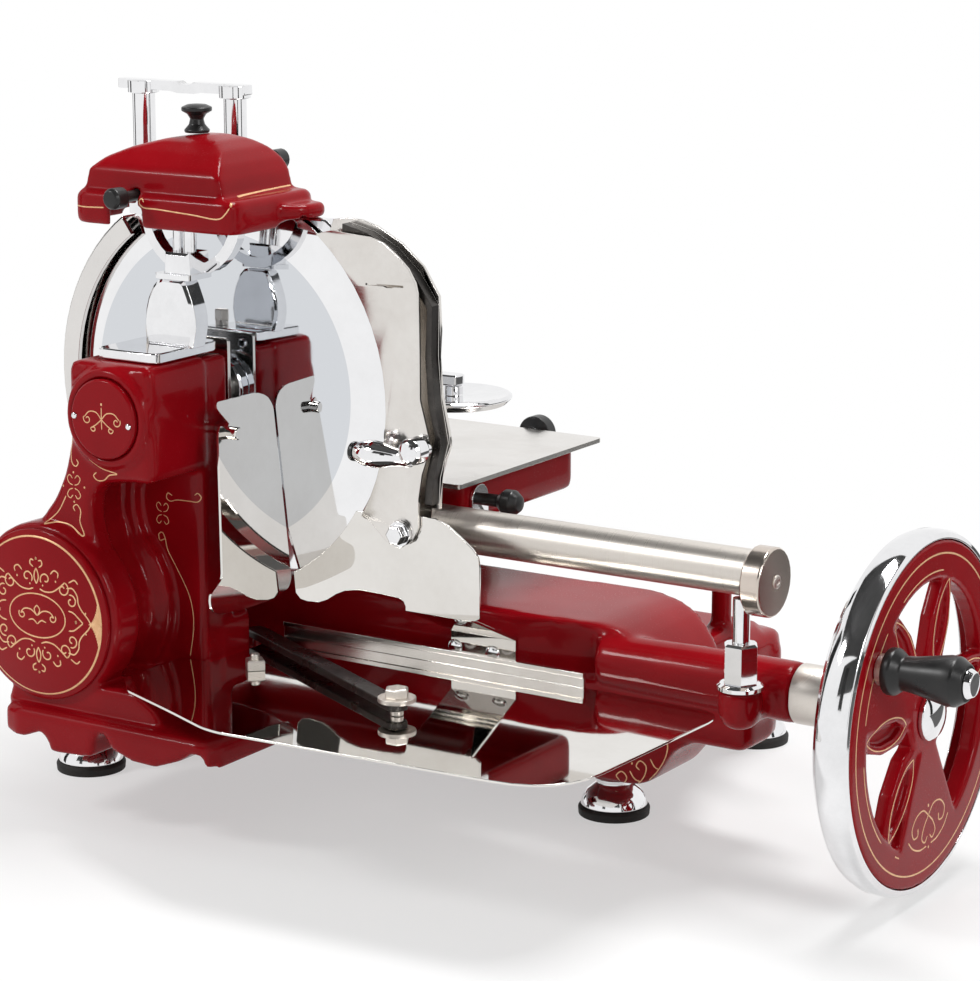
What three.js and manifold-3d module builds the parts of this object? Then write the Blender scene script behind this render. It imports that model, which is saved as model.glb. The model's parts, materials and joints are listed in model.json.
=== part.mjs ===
// Hand crank flywheel slicer, built as separate pieces in millimetres, +Z up.
// The blade axis runs along Y through x = 0, z = 0 while the pieces are made;
// the last lines move the whole group so that it stands on z = 0.
import * as THREE from 'three';
import { mergeVertices } from 'three/addons/utils/BufferGeometryUtils.js';
import Module from 'manifold-3d';

const wasm = await Module();
wasm.setup();

// Driving dimensions
const BLADE_RADIUS = 125;
const GROUND_Z = -268;
const JOINT_GAP = 0.3;
const WHEEL_RADIUS = 107.5;
const WHEEL_FACE_X = 466;
const SHAFT_Y = 52.2;
const SHAFT_Z = -154.1;
const RAIL_Y = 25;
const RAIL_Z = -77.8;
const RAIL_RADIUS = 14;
const RAIL_END_X = 379;
const REAR_RAIL_Y = 200;
const TABLE_TOP_Z = -49;
const TRAY_Z = -167;
const SHEET = 1.6;
const FOOT_HEIGHT = 24;
const HEAD_TOP_Z = 27;
const COLUMN_FRONT_Y = -98;
const POST_SPACING = 76;
const POST_TOP_Z = 180;
const COVER_BOTTOM_Z = 104;
const CRANK_RADIUS = 80;
const CRANK_ANGLE = 147;
const HOUSING_RADIUS = 18.6;

// Sizes that follow from them
const DISC_RADIUS = WHEEL_RADIUS - 5.3;
const HOUSING_END_X = WHEEL_FACE_X - 82;
const GUARD_INNER = BLADE_RADIUS + 0.7;
const GUARD_OUTER = BLADE_RADIUS + 2.4;
const GUARD_LIP = BLADE_RADIUS - 11.5;

const RED = { color: 0x8c1820, roughness: 0.22, metalness: 0.1 };
const STEEL = { color: 0xc9c8c4, roughness: 0.3, metalness: 0.95 };
const SATIN = { color: 0xb9b4ab, roughness: 0.42, metalness: 0.9 };
const CHROME = { color: 0xe2e4e6, roughness: 0.08, metalness: 1.0 };
const BLACK = { color: 0x18181a, roughness: 0.4, metalness: 0.0 };
const RUBBER = { color: 0x141414, roughness: 0.85, metalness: 0.0 };
const STONE = { color: 0xb8ad9a, roughness: 0.9, metalness: 0.0 };

const group = new THREE.Group();
group.name = 'hand_crank_slicer';

// Basic shapes

function weld(geometry) {
  // one closed skin: shared corners, no slivers, facing out
  let plain = geometry.index ? geometry.toNonIndexed() : geometry;
  const bare = new THREE.BufferGeometry();
  bare.setAttribute('position', plain.getAttribute('position').clone());
  const merged = mergeVertices(bare, 1e-4);
  const source = merged.index.array;
  const p = merged.getAttribute('position');
  const kept = [];
  let volume = 0;
  const a = new THREE.Vector3();
  const b = new THREE.Vector3();
  const c = new THREE.Vector3();
  for (let i = 0; i < source.length; i += 3) {
    const [u, v, w] = [source[i], source[i + 1], source[i + 2]];
    if (u === v || v === w || w === u) continue;
    kept.push(u, v, w);
    volume += a.fromBufferAttribute(p, u).dot(b.fromBufferAttribute(p, v).cross(c.fromBufferAttribute(p, w)));
  }
  if (volume < 0) {
    for (let i = 0; i < kept.length; i += 3) [kept[i + 1], kept[i + 2]] = [kept[i + 2], kept[i + 1]];
  }
  merged.setIndex(kept);
  return merged;
}

const AXES = {
  x: [new THREE.Vector3(0, 1, 0), new THREE.Vector3(0, 0, 1), new THREE.Vector3(1, 0, 0)],
  y: [new THREE.Vector3(1, 0, 0), new THREE.Vector3(0, 0, 1), new THREE.Vector3(0, -1, 0)],
  z: [new THREE.Vector3(1, 0, 0), new THREE.Vector3(0, 1, 0), new THREE.Vector3(0, 0, 1)],
};

function outline(points) {
  return new THREE.Shape(points.map(([u, v]) => new THREE.Vector2(u, v)));
}

function roundedOutline(points, radius) {
  // polygon with every corner rounded; radius may be one number or one per corner
  const shape = new THREE.Shape();
  const n = points.length;
  for (let i = 0; i < n; i++) {
    const p = new THREE.Vector2(...points[i]);
    const before = new THREE.Vector2(...points[(i + n - 1) % n]);
    const after = new THREE.Vector2(...points[(i + 1) % n]);
    const wanted = Array.isArray(radius) ? radius[i] : radius;
    const r = wanted < 2 ? 0 : wanted;
    const toBefore = before.clone().sub(p);
    const toAfter = after.clone().sub(p);
    const reach = Math.min(r, toBefore.length() * 0.48, toAfter.length() * 0.48);
    const start = p.clone().add(toBefore.setLength(reach));
    const end = p.clone().add(toAfter.setLength(reach));
    if (i === 0) shape.moveTo(start.x, start.y);
    else shape.lineTo(start.x, start.y);
    if (reach > 0) shape.quadraticCurveTo(p.x, p.y, end.x, end.y);
  }
  shape.closePath();
  return shape;
}

// a profile pushed along one axis from `from` to `to`, with softened edges
function plate(shape, axis, from, to, bevel = 0, segments = 1, curve = 2) {
  const depth = to - from - 2 * bevel;
  const geometry = new THREE.ExtrudeGeometry(shape, {
    depth,
    bevelEnabled: bevel > 0,
    bevelThickness: bevel,
    bevelSize: bevel,
    bevelOffset: -bevel,
    bevelSegments: segments,
    curveSegments: curve,
  });
  geometry.translate(0, 0, bevel);
  const [u, v, w] = AXES[axis];
  const place = new THREE.Matrix4().makeBasis(u, v, w);
  geometry.applyMatrix4(place);
  if (axis === 'x') geometry.translate(from, 0, 0);
  if (axis === 'y') geometry.translate(0, to, 0);
  if (axis === 'z') geometry.translate(0, 0, from);
  return weld(geometry);
}

// a profile of [radius, height] turned round an axis through `centre`
function turned(profile, axis, centre = [0, 0, 0], segments = 20) {
  const geometry = new THREE.LatheGeometry(profile.map(([r, h]) => new THREE.Vector2(r, h)), segments);
  if (axis === 'z') {
    geometry.applyMatrix4(new THREE.Matrix4().makeBasis(
      new THREE.Vector3(1, 0, 0), new THREE.Vector3(0, 0, 1), new THREE.Vector3(0, -1, 0)));
  }
  if (axis === 'x') {
    geometry.applyMatrix4(new THREE.Matrix4().makeBasis(
      new THREE.Vector3(0, 0, 1), new THREE.Vector3(1, 0, 0), new THREE.Vector3(0, 1, 0)));
  }
  geometry.translate(...centre);
  return weld(geometry);
}

function rod(radius, from, to, axis, centre, segments = 16, chamfer = 0) {
  const profile = chamfer > 0
    ? [[0, from], [radius - chamfer, from], [radius, from + chamfer], [radius, to - chamfer],
      [radius - chamfer, to], [0, to]]
    : [[0, from], [radius, from], [radius, to], [0, to]];
  return turned(profile, axis, centre, segments);
}

function block(x0, x1, y0, y1, z0, z1, corner = 0, bevel = 0) {
  const points = [[x0, y0], [x1, y0], [x1, y1], [x0, y1]];
  const shape = corner > 0 ? roundedOutline(points, corner) : outline(points);
  return plate(shape, 'z', z0, z1, bevel, 1, 2);
}

function hexagon(acrossFlats, u = 0, v = 0) {
  const r = acrossFlats / Math.sqrt(3);
  const points = [];
  for (let i = 0; i < 6; i++) {
    const t = (i * Math.PI) / 3;
    points.push([u + r * Math.cos(t), v + r * Math.sin(t)]);
  }
  return outline(points);
}

// Joining and cutting

function toSolid(geometry) {
  return new wasm.Manifold(new wasm.Mesh({
    numProp: 3,
    vertProperties: new Float32Array(geometry.getAttribute('position').array),
    triVerts: new Uint32Array(geometry.index.array),
  }));
}

function fromSolid(result) {
  const mesh = result.getMesh();
  const geometry = new THREE.BufferGeometry();
  const corners = [];
  for (let i = 0; i < mesh.vertProperties.length; i += mesh.numProp) {
    corners.push(mesh.vertProperties[i], mesh.vertProperties[i + 1], mesh.vertProperties[i + 2]);
  }
  geometry.setAttribute('position', new THREE.Float32BufferAttribute(corners, 3));
  geometry.setIndex([...mesh.triVerts]);
  return geometry;
}

function join(...pieces) {
  return fromSolid(pieces.map(toSolid).reduce((sum, piece) => sum.add(piece)));
}

function cut(base, ...tools) {
  return fromSolid(tools.map(toSolid).reduce((left, tool) => left.subtract(tool), toSolid(base)));
}

function clip(a, b) {
  return fromSolid(toSolid(a).intersect(toSolid(b)));
}

function add(name, geometry, finish) {
  const mesh = new THREE.Mesh(geometry, new THREE.MeshStandardMaterial(finish));
  mesh.name = name;
  group.add(mesh);
}

// Feet: a rubber pad under a chromed dome, four times

const FEET = {
  front_left: [-108.8, -12.2],
  front_right: [231.6, 94.8],
  rear_right: [234.2, 280.7],
  rear_left: [-96, 252],
};
const PAD_HEIGHT = 6.5;
const FOOT_TOP_Z = GROUND_Z + FOOT_HEIGHT;
for (const [name, [x, y]] of Object.entries(FEET)) {
  add(`foot_pad_${name}`, turned([[0, 0], [22.6, 0], [23, 4.6], [21.6, PAD_HEIGHT], [0, PAD_HEIGHT]],
    'z', [x, y, GROUND_Z], 16), RUBBER);
  add(`foot_${name}`, turned([[0, PAD_HEIGHT + JOINT_GAP], [21.4, PAD_HEIGHT + JOINT_GAP], [20.4, 11],
    [17, 16.5], [11, 21], [11, FOOT_HEIGHT], [0, FOOT_HEIGHT]], 'z', [x, y, GROUND_Z], 16), CHROME);
}
const BASE_UNDER_Z = FOOT_TOP_Z + JOINT_GAP;

// Column: head, necked front plate, drum housing, back plate and skirt in one casting

const DRUM = { x: -64.5, z: -134.6, r: 58 };
const HUB_COVER = { x: -14, z: -6, r: 25 };
const GUARD_LUG = [-68, 0, -109];

function neckPoints(inset) {
  return [
    [-46, 20], [18 - inset, 20], [18 - inset, -43], [-22 - inset, -48], [-31 - inset, -57],
    [-32 - inset, -74], [-26 - inset, -92], [-14 - inset, -110], [-40, -124], [-100, -118],
    [-93, -97], [-74, -78], [-60, -61], [-52, -45], [-46, -22],
  ];
}

function columnCasting() {
  const head = plate(roundedOutline([[-46, -45], [18, -45], [18, HEAD_TOP_Z], [-46, HEAD_TOP_Z]],
    [1, 6, 6, 6]), 'y', COLUMN_FRONT_Y, -40, 3);
  const front = plate(roundedOutline(neckPoints(0), 6), 'y', COLUMN_FRONT_Y, -80, 3, 1, 2);
  const web = plate(outline(neckPoints(10)), 'y', -84, -48, 0);
  const middle = plate(roundedOutline(neckPoints(1), 6), 'y', -54, -40, 2.5, 1, 2);
  const drum = turned([[0, -106], [56, -106], [DRUM.r, -102], [DRUM.r, -82], [DRUM.r - 10, -76],
    [DRUM.r - 12, -66], [DRUM.r - 10, -58], [DRUM.r, -53], [DRUM.r, -20],
    [0, -20]], 'y', [DRUM.x, 0, DRUM.z], 32);
  const back = plate(roundedOutline([[-46, 25], [16.5, 25], [16.5, -192], [-100, -192], [-112, -150],
    [-100, -104], [-74, -78], [-60, -61], [-52, -45], [-46, -22]],
    [4, 4, 0, 4, 10, 8, 6, 6, 6, 6]), 'y', -46, -18, 2, 1, 2);
  const heel = plate(roundedOutline([[-104, -192], [17.5, -192], [17.5, -142], [-60, -142], [-104, -150]], 5),
    'y', -30, -JOINT_GAP, 1.5);
  const rim = turned([[HUB_COVER.r + 0.4, -96], [HUB_COVER.r + 0.4, -102.5], [HUB_COVER.r + 4, -103.2],
    [HUB_COVER.r + 7, -99], [HUB_COVER.r + 7, -96], [HUB_COVER.r + 0.4, -96]],
  'y', [HUB_COVER.x, 0, HUB_COVER.z], 28);
  // flared skirt, rounded in plan and waved along its lower edge
  const skirtPlan = plate(roundedOutline([[-97, -116], [72, -116], [72, -22], [-97, -22]], [16, 12, 8, 8]),
    'z', -224, -194.5, 4);
  const skirtFront = plate(roundedOutline([[-104, -190], [-104, -210], [-88, -214], [-76, -214],
    [-63, -209], [-58, -212], [-54, -221], [-22, -219], [-18, -205], [-12, -201], [-5, -211], [10, -216],
    [28, -217], [47, -210], [57, -203.5], [63, -203.5], [66, -210], [73, -214], [80, -214],
    [80, -190]], 0), 'y', -130, -10, 0);
  const skirt = clip(skirtPlan, skirtFront);
  const sole = block(-92, 60, -60, -JOINT_GAP, -204, -188, 6, 2);
  const apron = plate(roundedOutline([[-98, -196], [30, -196], [20, -184], [6, -176], [-90, -176]], 0),
    'y', -105.6, -44, 2);
  const lug = rod(9, -30, -8 - JOINT_GAP, 'y', GUARD_LUG, 16);
  const body = join(head, front, web, middle, drum, back, heel, rim, skirt, sole, apron, lug);
  const shaftBore = rod(13, -120, 10, 'y', [0, 0, 0], 24);
  const coverSeat = rod(HUB_COVER.r + 0.4, -110, -98.3, 'y', [HUB_COVER.x, 0, HUB_COVER.z], 28);
  return cut(body, clip(shaftBore, block(-20, 20, -60, 10, -20, 20)), coverSeat);
}
add('column_casting', columnCasting(), RED);

add('hub_cover', turned([[0, -98.6], [HUB_COVER.r - 0.2, -98.6], [HUB_COVER.r - 0.2, -103.5],
  [HUB_COVER.r - 1.5, -104.6], [0, -105.2]], 'y', [HUB_COVER.x, 0, HUB_COVER.z], 28), RED);
add('drum_cover', turned([[0, -106.3], [54.4, -106.3], [54.4, -109], [49.5, -111.4], [0, -112]],
  'y', [DRUM.x, 0, DRUM.z], 36), RED);

const PILLAR_AT = [360.3, 19.6, 0];
const HUMP_FRONT_Y = 42;
const ARM_START = [40, -4];
const ARM_END = [184, -79];
const ARM_PIVOT = [15, 9, 0];

// Base casting under the carriage, with its raised hump, shaft housing and legs

function baseCasting() {
  const pan = plate(roundedOutline([[-122, JOINT_GAP], [66, JOINT_GAP], [78, 34], [96, 46], [292, 46],
    [288, 120], [262, 170], [240, 292], [-120, 282]], [0, 9, 16, 16, 10, 40, 40, 20, 24]), 'z', -212, -184,
    6);
  const humpSide = plate(roundedOutline([[-70, -190], [-66, -146], [-50, -132], [250, -131], [272, -137],
    [296, -154], [308, -190]], [0, 8, 8, 10, 10, 10, 0]), 'y', 40, 150, 0);
  const humpPlan = plate(roundedOutline([[-76, HUMP_FRONT_Y], [200, HUMP_FRONT_Y], [262, 50], [312, 60],
    [300, 118], [240, 142], [-70, 142]], [14, 10, 20, 20, 24, 24, 14]), 'z', -196, -126, 4);
  const hump = clip(humpSide, humpPlan);
  const shelf = plate(roundedOutline([[180, 44], [352, 44], [352, 92], [260, 130], [180, 100]],
    [8, 9, 14, 14, 8]), 'z', -196, -163, 4);
  const boss = turned([[0, -172], [7, -171], [11.5, -166.5], [13.4, -160], [13.4, -149.6], [12.4, -147.3],
    [0, -147.3]], 'z', PILLAR_AT, 22);
  const bossWeb = block(350, 371, PILLAR_AT[1], SHAFT_Y, -169, -151, 0, 2.5);
  const housing = turned([[0, HOUSING_END_X - 134], [17, HOUSING_END_X - 134],
    [HOUSING_RADIUS - 0.4, HOUSING_END_X - 84], [HOUSING_RADIUS, HOUSING_END_X - 54],
    [HOUSING_RADIUS, HOUSING_END_X - 1], [HOUSING_RADIUS - 1, HOUSING_END_X],
    [0, HOUSING_END_X]], 'x', [0, SHAFT_Y, SHAFT_Z], 24);
  const leg = plate(roundedOutline([[180, -180], [194, -208], [202, -226], [212, -231], [270, -231],
    [282, -228], [292, -215], [298, -205], [311, -198], [341, -185], [360, -172], [362, -156], [340, -156]],
  [0, 6, 8, 6, 8, 8, 8, 8, 12, 12, 0, 0, 0]), 'y', 47, 112, 3);
  const sockets = Object.entries(FEET).map(([name, [x, y]]) => rod(name === 'front_left' ? 14 : 17,
    BASE_UNDER_Z,
    name === 'front_left' ? -206 : -200, 'z', [x, y, 0], 18, 1));
  const toe = block(-124, -96, -18, 20, -232, -206, 6, 2);
  const rearLeg = plate(roundedOutline([[200, 236], [250, 236], [248, 300],
    [206, 300]], 16), 'z', BASE_UNDER_Z + 8, -190, 4, 1);
  const leftLeg = plate(roundedOutline([[-122, 218], [-66, 218], [-66, 280],
    [-120, 280]], 16), 'z', BASE_UNDER_Z + 8, -196, 4, 1);
  const beam = block(-100, 60, JOINT_GAP + 1, 60, -222, -196, 8, 3);
  const posts = [-106, 250].map((x) => turned([[0, -190], [14, -190], [11, -178], [7, -168], [7, -127.8],
    [0, -127.8]], 'z', [x, REAR_RAIL_Y, 0], 14));
  const rib = block(239, 261, 110, REAR_RAIL_Y + 8, -200, -166, 4, 3);
  const armBoss = rod(4, -200, TRAY_Z + 3, 'z', ARM_PIVOT, 14);
  const body = join(pan, hump, shelf, boss, bossWeb, housing, leg, rearLeg, leftLeg, beam, toe, rib, armBoss,
    ...sockets, ...posts);
  const shaftBore = rod(12.3, HOUSING_END_X - 84, HOUSING_END_X + 16, 'x', [0, SHAFT_Y, SHAFT_Z], 24);
  return cut(body, shaftBore);
}
add('base_casting', baseCasting(), RED);

// Blade, its shaft nose and clamping ring

add('blade', turned([[0, 2.5], [BLADE_RADIUS - 9, 2.5], [BLADE_RADIUS, 1.6], [BLADE_RADIUS, 1.1],
  [BLADE_RADIUS - 26, -3], [0, -3]], 'y', [0, 0, 0], 60), STEEL);
add('blade_shaft', rod(12.6, -59, -3.3, 'y', [0, 0, 0], 20), STEEL);
add('blade_clamp_ring', turned([[13, -11], [20, -11], [21, -9.5], [21, -3.3], [13, -3.3], [13, -11]],
  'y', [0, 0, 0], 18), BLACK);

// Guard round the left side of the blade: a bent channel

function guardRing() {
  const ring = turned([[GUARD_LIP, -8], [GUARD_INNER, -8], [GUARD_OUTER, -6.2], [GUARD_OUTER, 8.5],
    [GUARD_INNER, 8.5], [GUARD_INNER, -4.6], [GUARD_LIP, -4.6], [GUARD_LIP, -8]],
    'y', [0, 0, 0], 72);
  const start = (126 * Math.PI) / 180;
  const end = (252 * Math.PI) / 180;
  const sector = [[0, 0]];
  for (let i = 0; i <= 6; i++) {
    const t = start + ((end - start) * i) / 6;
    sector.push([170 * Math.cos(t), 170 * Math.sin(t)]);
  }
  return clip(ring, plate(outline(sector), 'y', -20, 20));
}
add('blade_guard_ring', guardRing(), STEEL);

// Slice deflector: a leaning sheet square to the blade, on a pin from the column

const DEFLECTOR_X = 38.1;
const DEFLECTOR_LEAN = -0.112;
const COLUMN_SIDE_X = 16.5;
function deflector() {
  const shape = roundedOutline([[-60, 3], [-18, 2.5], [-8, -2], [-4.2, -9], [-4.2, -118], [-8, -124],
    [-30, -127.5], [-56, -127], [-82, -125], [-87, -120], [-86.5, -112], [-72.5, -104], [-61.5, -17],
    [-59, -11.5], [-53, -15], [-50, -12], [-60.5, -1]],
  [3, 6, 4, 2, 2, 3, 5, 5, 3, 3, 3, 3, 2, 2, 1, 1, 2]);
  const sheet = plate(shape, 'x', 0, SHEET);
  sheet.rotateY(DEFLECTOR_LEAN);
  sheet.translate(DEFLECTOR_X, 0, 0);
  const pin = rod(4, COLUMN_SIDE_X + JOINT_GAP, DEFLECTOR_X + 2.6, 'x', [0, -30, -20], 16);
  const stud = rod(4, DEFLECTOR_X + 1.4, DEFLECTOR_X + 11, 'x', [0, -51, -17], 16, 0.6);
  return join(sheet, pin, stud);
}
add('slice_deflector', deflector(), STEEL);

// Gauge plates right of the blade

function arcPoints(radius, fromDegrees, toDegrees, steps) {
  const points = [];
  for (let i = 0; i <= steps; i++) {
    const t = ((fromDegrees + ((toDegrees - fromDegrees) * i) / steps) * Math.PI) / 180;
    points.push([radius * Math.cos(t), radius * Math.sin(t)]);
  }
  return points;
}

const GUIDE_AT = [143, 0, -75];
const GUIDE_RADIUS = 3;
const frontGauge = outline([
  ...arcPoints(BLADE_RADIUS + 7, -31, 52, 14), [93, 107], [121, 105], [131, 102], [141, 95], [149, 88],
  [154, 80], [156.5, 70], [157, 40], [157, 9], [160, -2], [163, -13], [162.5, -24], [158, -37],
  [155.5, -52], [155.5, -70], [151, -79], [141, -85], [131, -81],
  [120, -71],
]);
add('gauge_front_plate', cut(plate(frontGauge, 'y', -13.2, -11.4),
  rod(GUIDE_RADIUS + JOINT_GAP, -20, 0, 'y', GUIDE_AT, 14)), STEEL);
const backGauge = outline([
  ...arcPoints(BLADE_RADIUS + 4.5, -27, 51, 12), [86, 112], [96, 113.5], [107, 113], [118, 110], [136, 101],
  [152, 88], [163, 71], [164, 50], [163, 34], [165, 10], [170, -12], [171, -20], [168, -27], [164, -40],
  [163, -60], [120, -60],
]);
const gaugeWall = plate(outline([[157, -56], [162.6, -56], [163.5, -40], [167, -27], [169.5, -18],
  [164.5, 8], [162.5, 34], [163, 66], [150, 84], [134, 98], [117, 106.5], [98, 111], [98, 106],
  [117, 102], [131, 94.5], [147, 80], [159.5, 64], [158, 34], [160, 6], [165, -14],
  [158.5, -38]]), 'y', -8.8, 0);
const guideTab = plate(outline([[128, -58], [158, -58], [154, -84], [132, -84]]), 'y', -1, 1.4);
const guidePin = rod(GUIDE_RADIUS, -10.6, 0, 'y', GUIDE_AT, 14);
add('gauge_back_plate', join(plate(backGauge, 'y', -1, 1.4), gaugeWall, guideTab, guidePin), STEEL);

const FLANGE_Y = HUMP_FRONT_Y - JOINT_GAP;
function lowerGauge() {
  // upright face, a sloping fold under the slide tube and a screwed flange
  const face = plate(outline([
    ...arcPoints(BLADE_RADIUS + 1.2, -61.9, -31.5, 14), [109, -65.9], [150, -63.5], [166, -63.5],
    [175, -66.5], [184, -72.5], [193, -79], [197, -84], [198, -90], [198, -121.5], [195, -123.6],
    [148, -123.6], [144.5, -122.4], [142.5, -118.5], [139, -117], [126, -116.2], [110, -115.8],
    [99, -117.8], [92, -121], [85, -125.6], [79, -128], [70, -128.8], [64.5, -128], [60.8, -124.5],
  ]), 'y', -10.8, -9);
  const fold = plate(outline([[-10.8, -121], [-9, -121], [-9, -123], [FLANGE_Y, -147], [FLANGE_Y, -180],
    [FLANGE_Y - 1.8, -180], [FLANGE_Y - 1.8, -148], [-10.8, -124.2]]),
    'x', 144, 192);
  return cut(join(face, fold), rod(GUIDE_RADIUS + JOINT_GAP, -20, 0, 'y', GUIDE_AT, 14));
}
add('gauge_bracket', lowerGauge(), STEEL);

// index handle on the gauge: chromed barrel, black end, domed pivot
add('gauge_lever', join(
  turned([[0, 118], [5.5, 118], [8.6, 127], [8, 136], [5, 146], [5, 156], [0, 156]], 'x', [0, -24, -25], 16),
  turned([[0, -33], [6, -32], [8.5, -28], [8.5, -20], [6, -17.5], [6, -13.5],
    [0, -13.5]], 'y', [160, 0, -20], 16),
), CHROME);
add('gauge_lever_cap', rod(5.6, 113.5, 117.7, 'x', [0, -24, -25], 14), BLACK);
add('gauge_lock_bolt', join(plate(hexagon(11, 143, -75), 'y', -22, -16, 0.8), rod(8, -16.4, -13.5, 'y',
  [143, 0, -75], 16)), CHROME);

// Receiving tray, its arm and fixings

function tray() {
  const plan = roundedOutline([[16, -124], [60, -142], [108, -163], [341, -151], [346.2, 29], [250, 30.4],
    [22, 30.4], [22, -14], [21, -47], [-2, -48], [-3, -104]], [3, 10, 14, 44, 20, 1, 1, 1, 1, 2, 3]);
  const sheet = plate(plan, 'z', TRAY_Z - SHEET, TRAY_Z, 0, 1, 6);
  const lip = plate(roundedOutline([[28.6, TRAY_Z - SHEET], [31.4, TRAY_Z - SHEET], [31.4, TRAY_Z + 9.5],
    [27.6, TRAY_Z + 9.5], [27.6, TRAY_Z + 6.5], [28.6, TRAY_Z + 6.5]], 0), 'x', 22, 248);
  return join(sheet, lip);
}
add('receiving_tray', tray(), CHROME);

function trayArm() {
  const length = Math.hypot(ARM_END[0] - ARM_START[0], ARM_END[1] - ARM_START[1]);
  const bar = plate(roundedOutline([[-34, -6.4], [length + 5, -6.4], [length + 5, 6.4],
    [-34, 6.4]], 5), 'z', 0, 5, 0.6);
  bar.rotateZ(Math.atan2(ARM_END[1] - ARM_START[1], ARM_END[0] - ARM_START[0]));
  bar.translate(ARM_START[0], ARM_START[1], TRAY_Z + 3.3);
  return cut(bar, rod(4.3, TRAY_Z, TRAY_Z + 12, 'z', [...ARM_END, 0], 14));
}
add('tray_arm', trayArm(), { color: 0x4a4744, roughness: 0.35, metalness: 0.9 });
add('tray_bolt', join(plate(hexagon(13, ...ARM_END), 'z', TRAY_Z + 11, TRAY_Z + 17, 0.8),
  rod(11.5, TRAY_Z + 8.7, TRAY_Z + 11.4, 'z', [...ARM_END, 0], 20),
  rod(4, TRAY_Z + JOINT_GAP, TRAY_Z + 9, 'z', [...ARM_END, 0], 14)), STEEL);

// Slide tube, its end block and the pillar that carries them

add('slide_tube', rod(RAIL_RADIUS, -100, RAIL_END_X - 4, 'x', [0, RAIL_Y, RAIL_Z], 24), SATIN);
add('tube_end_cap', cut(
  turned([[0, 366], [20, 366], [20.9, 367.2], [20.9, RAIL_END_X - 1.2], [20, RAIL_END_X], [0, RAIL_END_X]],
    'x', [0, RAIL_Y, RAIL_Z - 3.8], 26),
  rod(RAIL_RADIUS + JOINT_GAP, 350, RAIL_END_X - 3.7, 'x', [0, RAIL_Y, RAIL_Z], 24),
), SATIN);
add('rail_pillar', join(
  turned([[0, -147], [14, -147], [14, -144.6], [12, -143.2], [0, -143.2]], 'z', PILLAR_AT, 22),
  plate(hexagon(19, PILLAR_AT[0], PILLAR_AT[1]), 'z', -144, -119, 1.5),
  rod(5.3, -122, RAIL_Z - RAIL_RADIUS - JOINT_GAP, 'z', PILLAR_AT, 14),
), CHROME);

// Rear rail with the roller that runs on it
const ROLLER_AT = [60, 0, -105.7];
add('rear_rail', block(-140, 290, REAR_RAIL_Y - 8, REAR_RAIL_Y + 8, -127.5, -121, 0, 0.8), SATIN);
add('carriage_roller', cut(rod(15, REAR_RAIL_Y - 6, REAR_RAIL_Y + 6, 'y', ROLLER_AT, 20, 1.2),
  rod(5.3, 180, 220, 'y', ROLLER_AT, 14)), STEEL);

// Carriage: red box with a sleeve on the tube, and the meat table on top

const FEED_KNOB_AT = [0, 60, -66];
function carriageBody() {
  const box = plate(roundedOutline([[-118, -83], [150, -83], [150, TABLE_TOP_Z - 3.3],
    [-118, TABLE_TOP_Z - 3.3]], [7, 7, 0, 0]), 'y', 45.5, 178, 2.5);
  const sleeve = rod(RAIL_RADIUS + 5.5, 10, 112, 'x', [0, RAIL_Y, RAIL_Z], 24);
  const neck = block(16, 106, 34, 50, -90, -68);
  const trailing = block(44, 76, 174, 190, -114, TABLE_TOP_Z - 4);
  const axle = rod(5, 184, 212, 'y', ROLLER_AT, 14);
  const body = join(box, sleeve, neck, trailing, axle);
  const hollow = block(-112, 144, 52, 172, -90, -60);
  return cut(body, hollow, rod(RAIL_RADIUS + JOINT_GAP, 0, 130, 'x', [0, RAIL_Y, RAIL_Z], 24),
    rod(4 + JOINT_GAP, 130, 160, 'x', FEED_KNOB_AT, 12));
}
add('carriage', carriageBody(), RED);
add('meat_table', join(
  plate(roundedOutline([[-146, 21], [163, 21], [163, 192], [-146, 192]],
    3), 'z', TABLE_TOP_Z - 3, TABLE_TOP_Z),
  block(-146, -143, 24, 190, TABLE_TOP_Z - 2, TABLE_TOP_Z + 26),
), STEEL);
add('feed_knob', join(
  rod(4, 138, 170, 'x', FEED_KNOB_AT, 12),
  turned([[0, 167], [5, 167.8], [8.2, 172], [8.2, 178], [5, 182.4], [0, 183.4]], 'x', FEED_KNOB_AT, 14),
), BLACK);
add('table_lock_knob', turned([[0, 192.4], [5, 192.4], [5, 200], [12, 202], [12, 211], [7, 215], [0, 215.6]],
  'y', [104, 0, -55], 16), BLACK);

// Meat clamp: two posts, crossbar, sliding arm and round press plate

const POST_Y = 86;
const POST_X = [-130, -130 + POST_SPACING];
POST_X.forEach((x, i) => add(`clamp_post_${i === 0 ? 'left' : 'right'}`,
  rod(7.6, TABLE_TOP_Z + JOINT_GAP, POST_TOP_Z - 9, 'z', [x, POST_Y, 0], 18), CHROME));

function crossbar() {
  const [a, b] = POST_X;
  const bosses = [a, b].map((x) => turned([[0, POST_TOP_Z - 8.7], [10.5, POST_TOP_Z - 8.7],
    [10.5, POST_TOP_Z - 1], [9, POST_TOP_Z], [0, POST_TOP_Z]], 'z', [x, POST_Y, 0], 14));
  const bar = plate(roundedOutline([[a - 18, POST_TOP_Z - 6], [a + 26, POST_TOP_Z - 6],
    [(a + b) / 2, POST_TOP_Z - 8], [b - 22, POST_TOP_Z - 6], [b + 11, POST_TOP_Z - 6],
    [b + 11, POST_TOP_Z - 0.5], [(a + b) / 2 + 8, POST_TOP_Z - 1.5],
    [(a + b) / 2, POST_TOP_Z + 1], [(a + b) / 2 - 8, POST_TOP_Z - 1.5], [a - 18, POST_TOP_Z - 0.5]],
  [0, 3, 4, 3, 0, 0, 3, 0, 3, 0]), 'y', POST_Y - 5, POST_Y + 5, 1, 1, 2);
  return join(...bosses, bar);
}
add('clamp_crossbar', crossbar(), CHROME);

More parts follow.
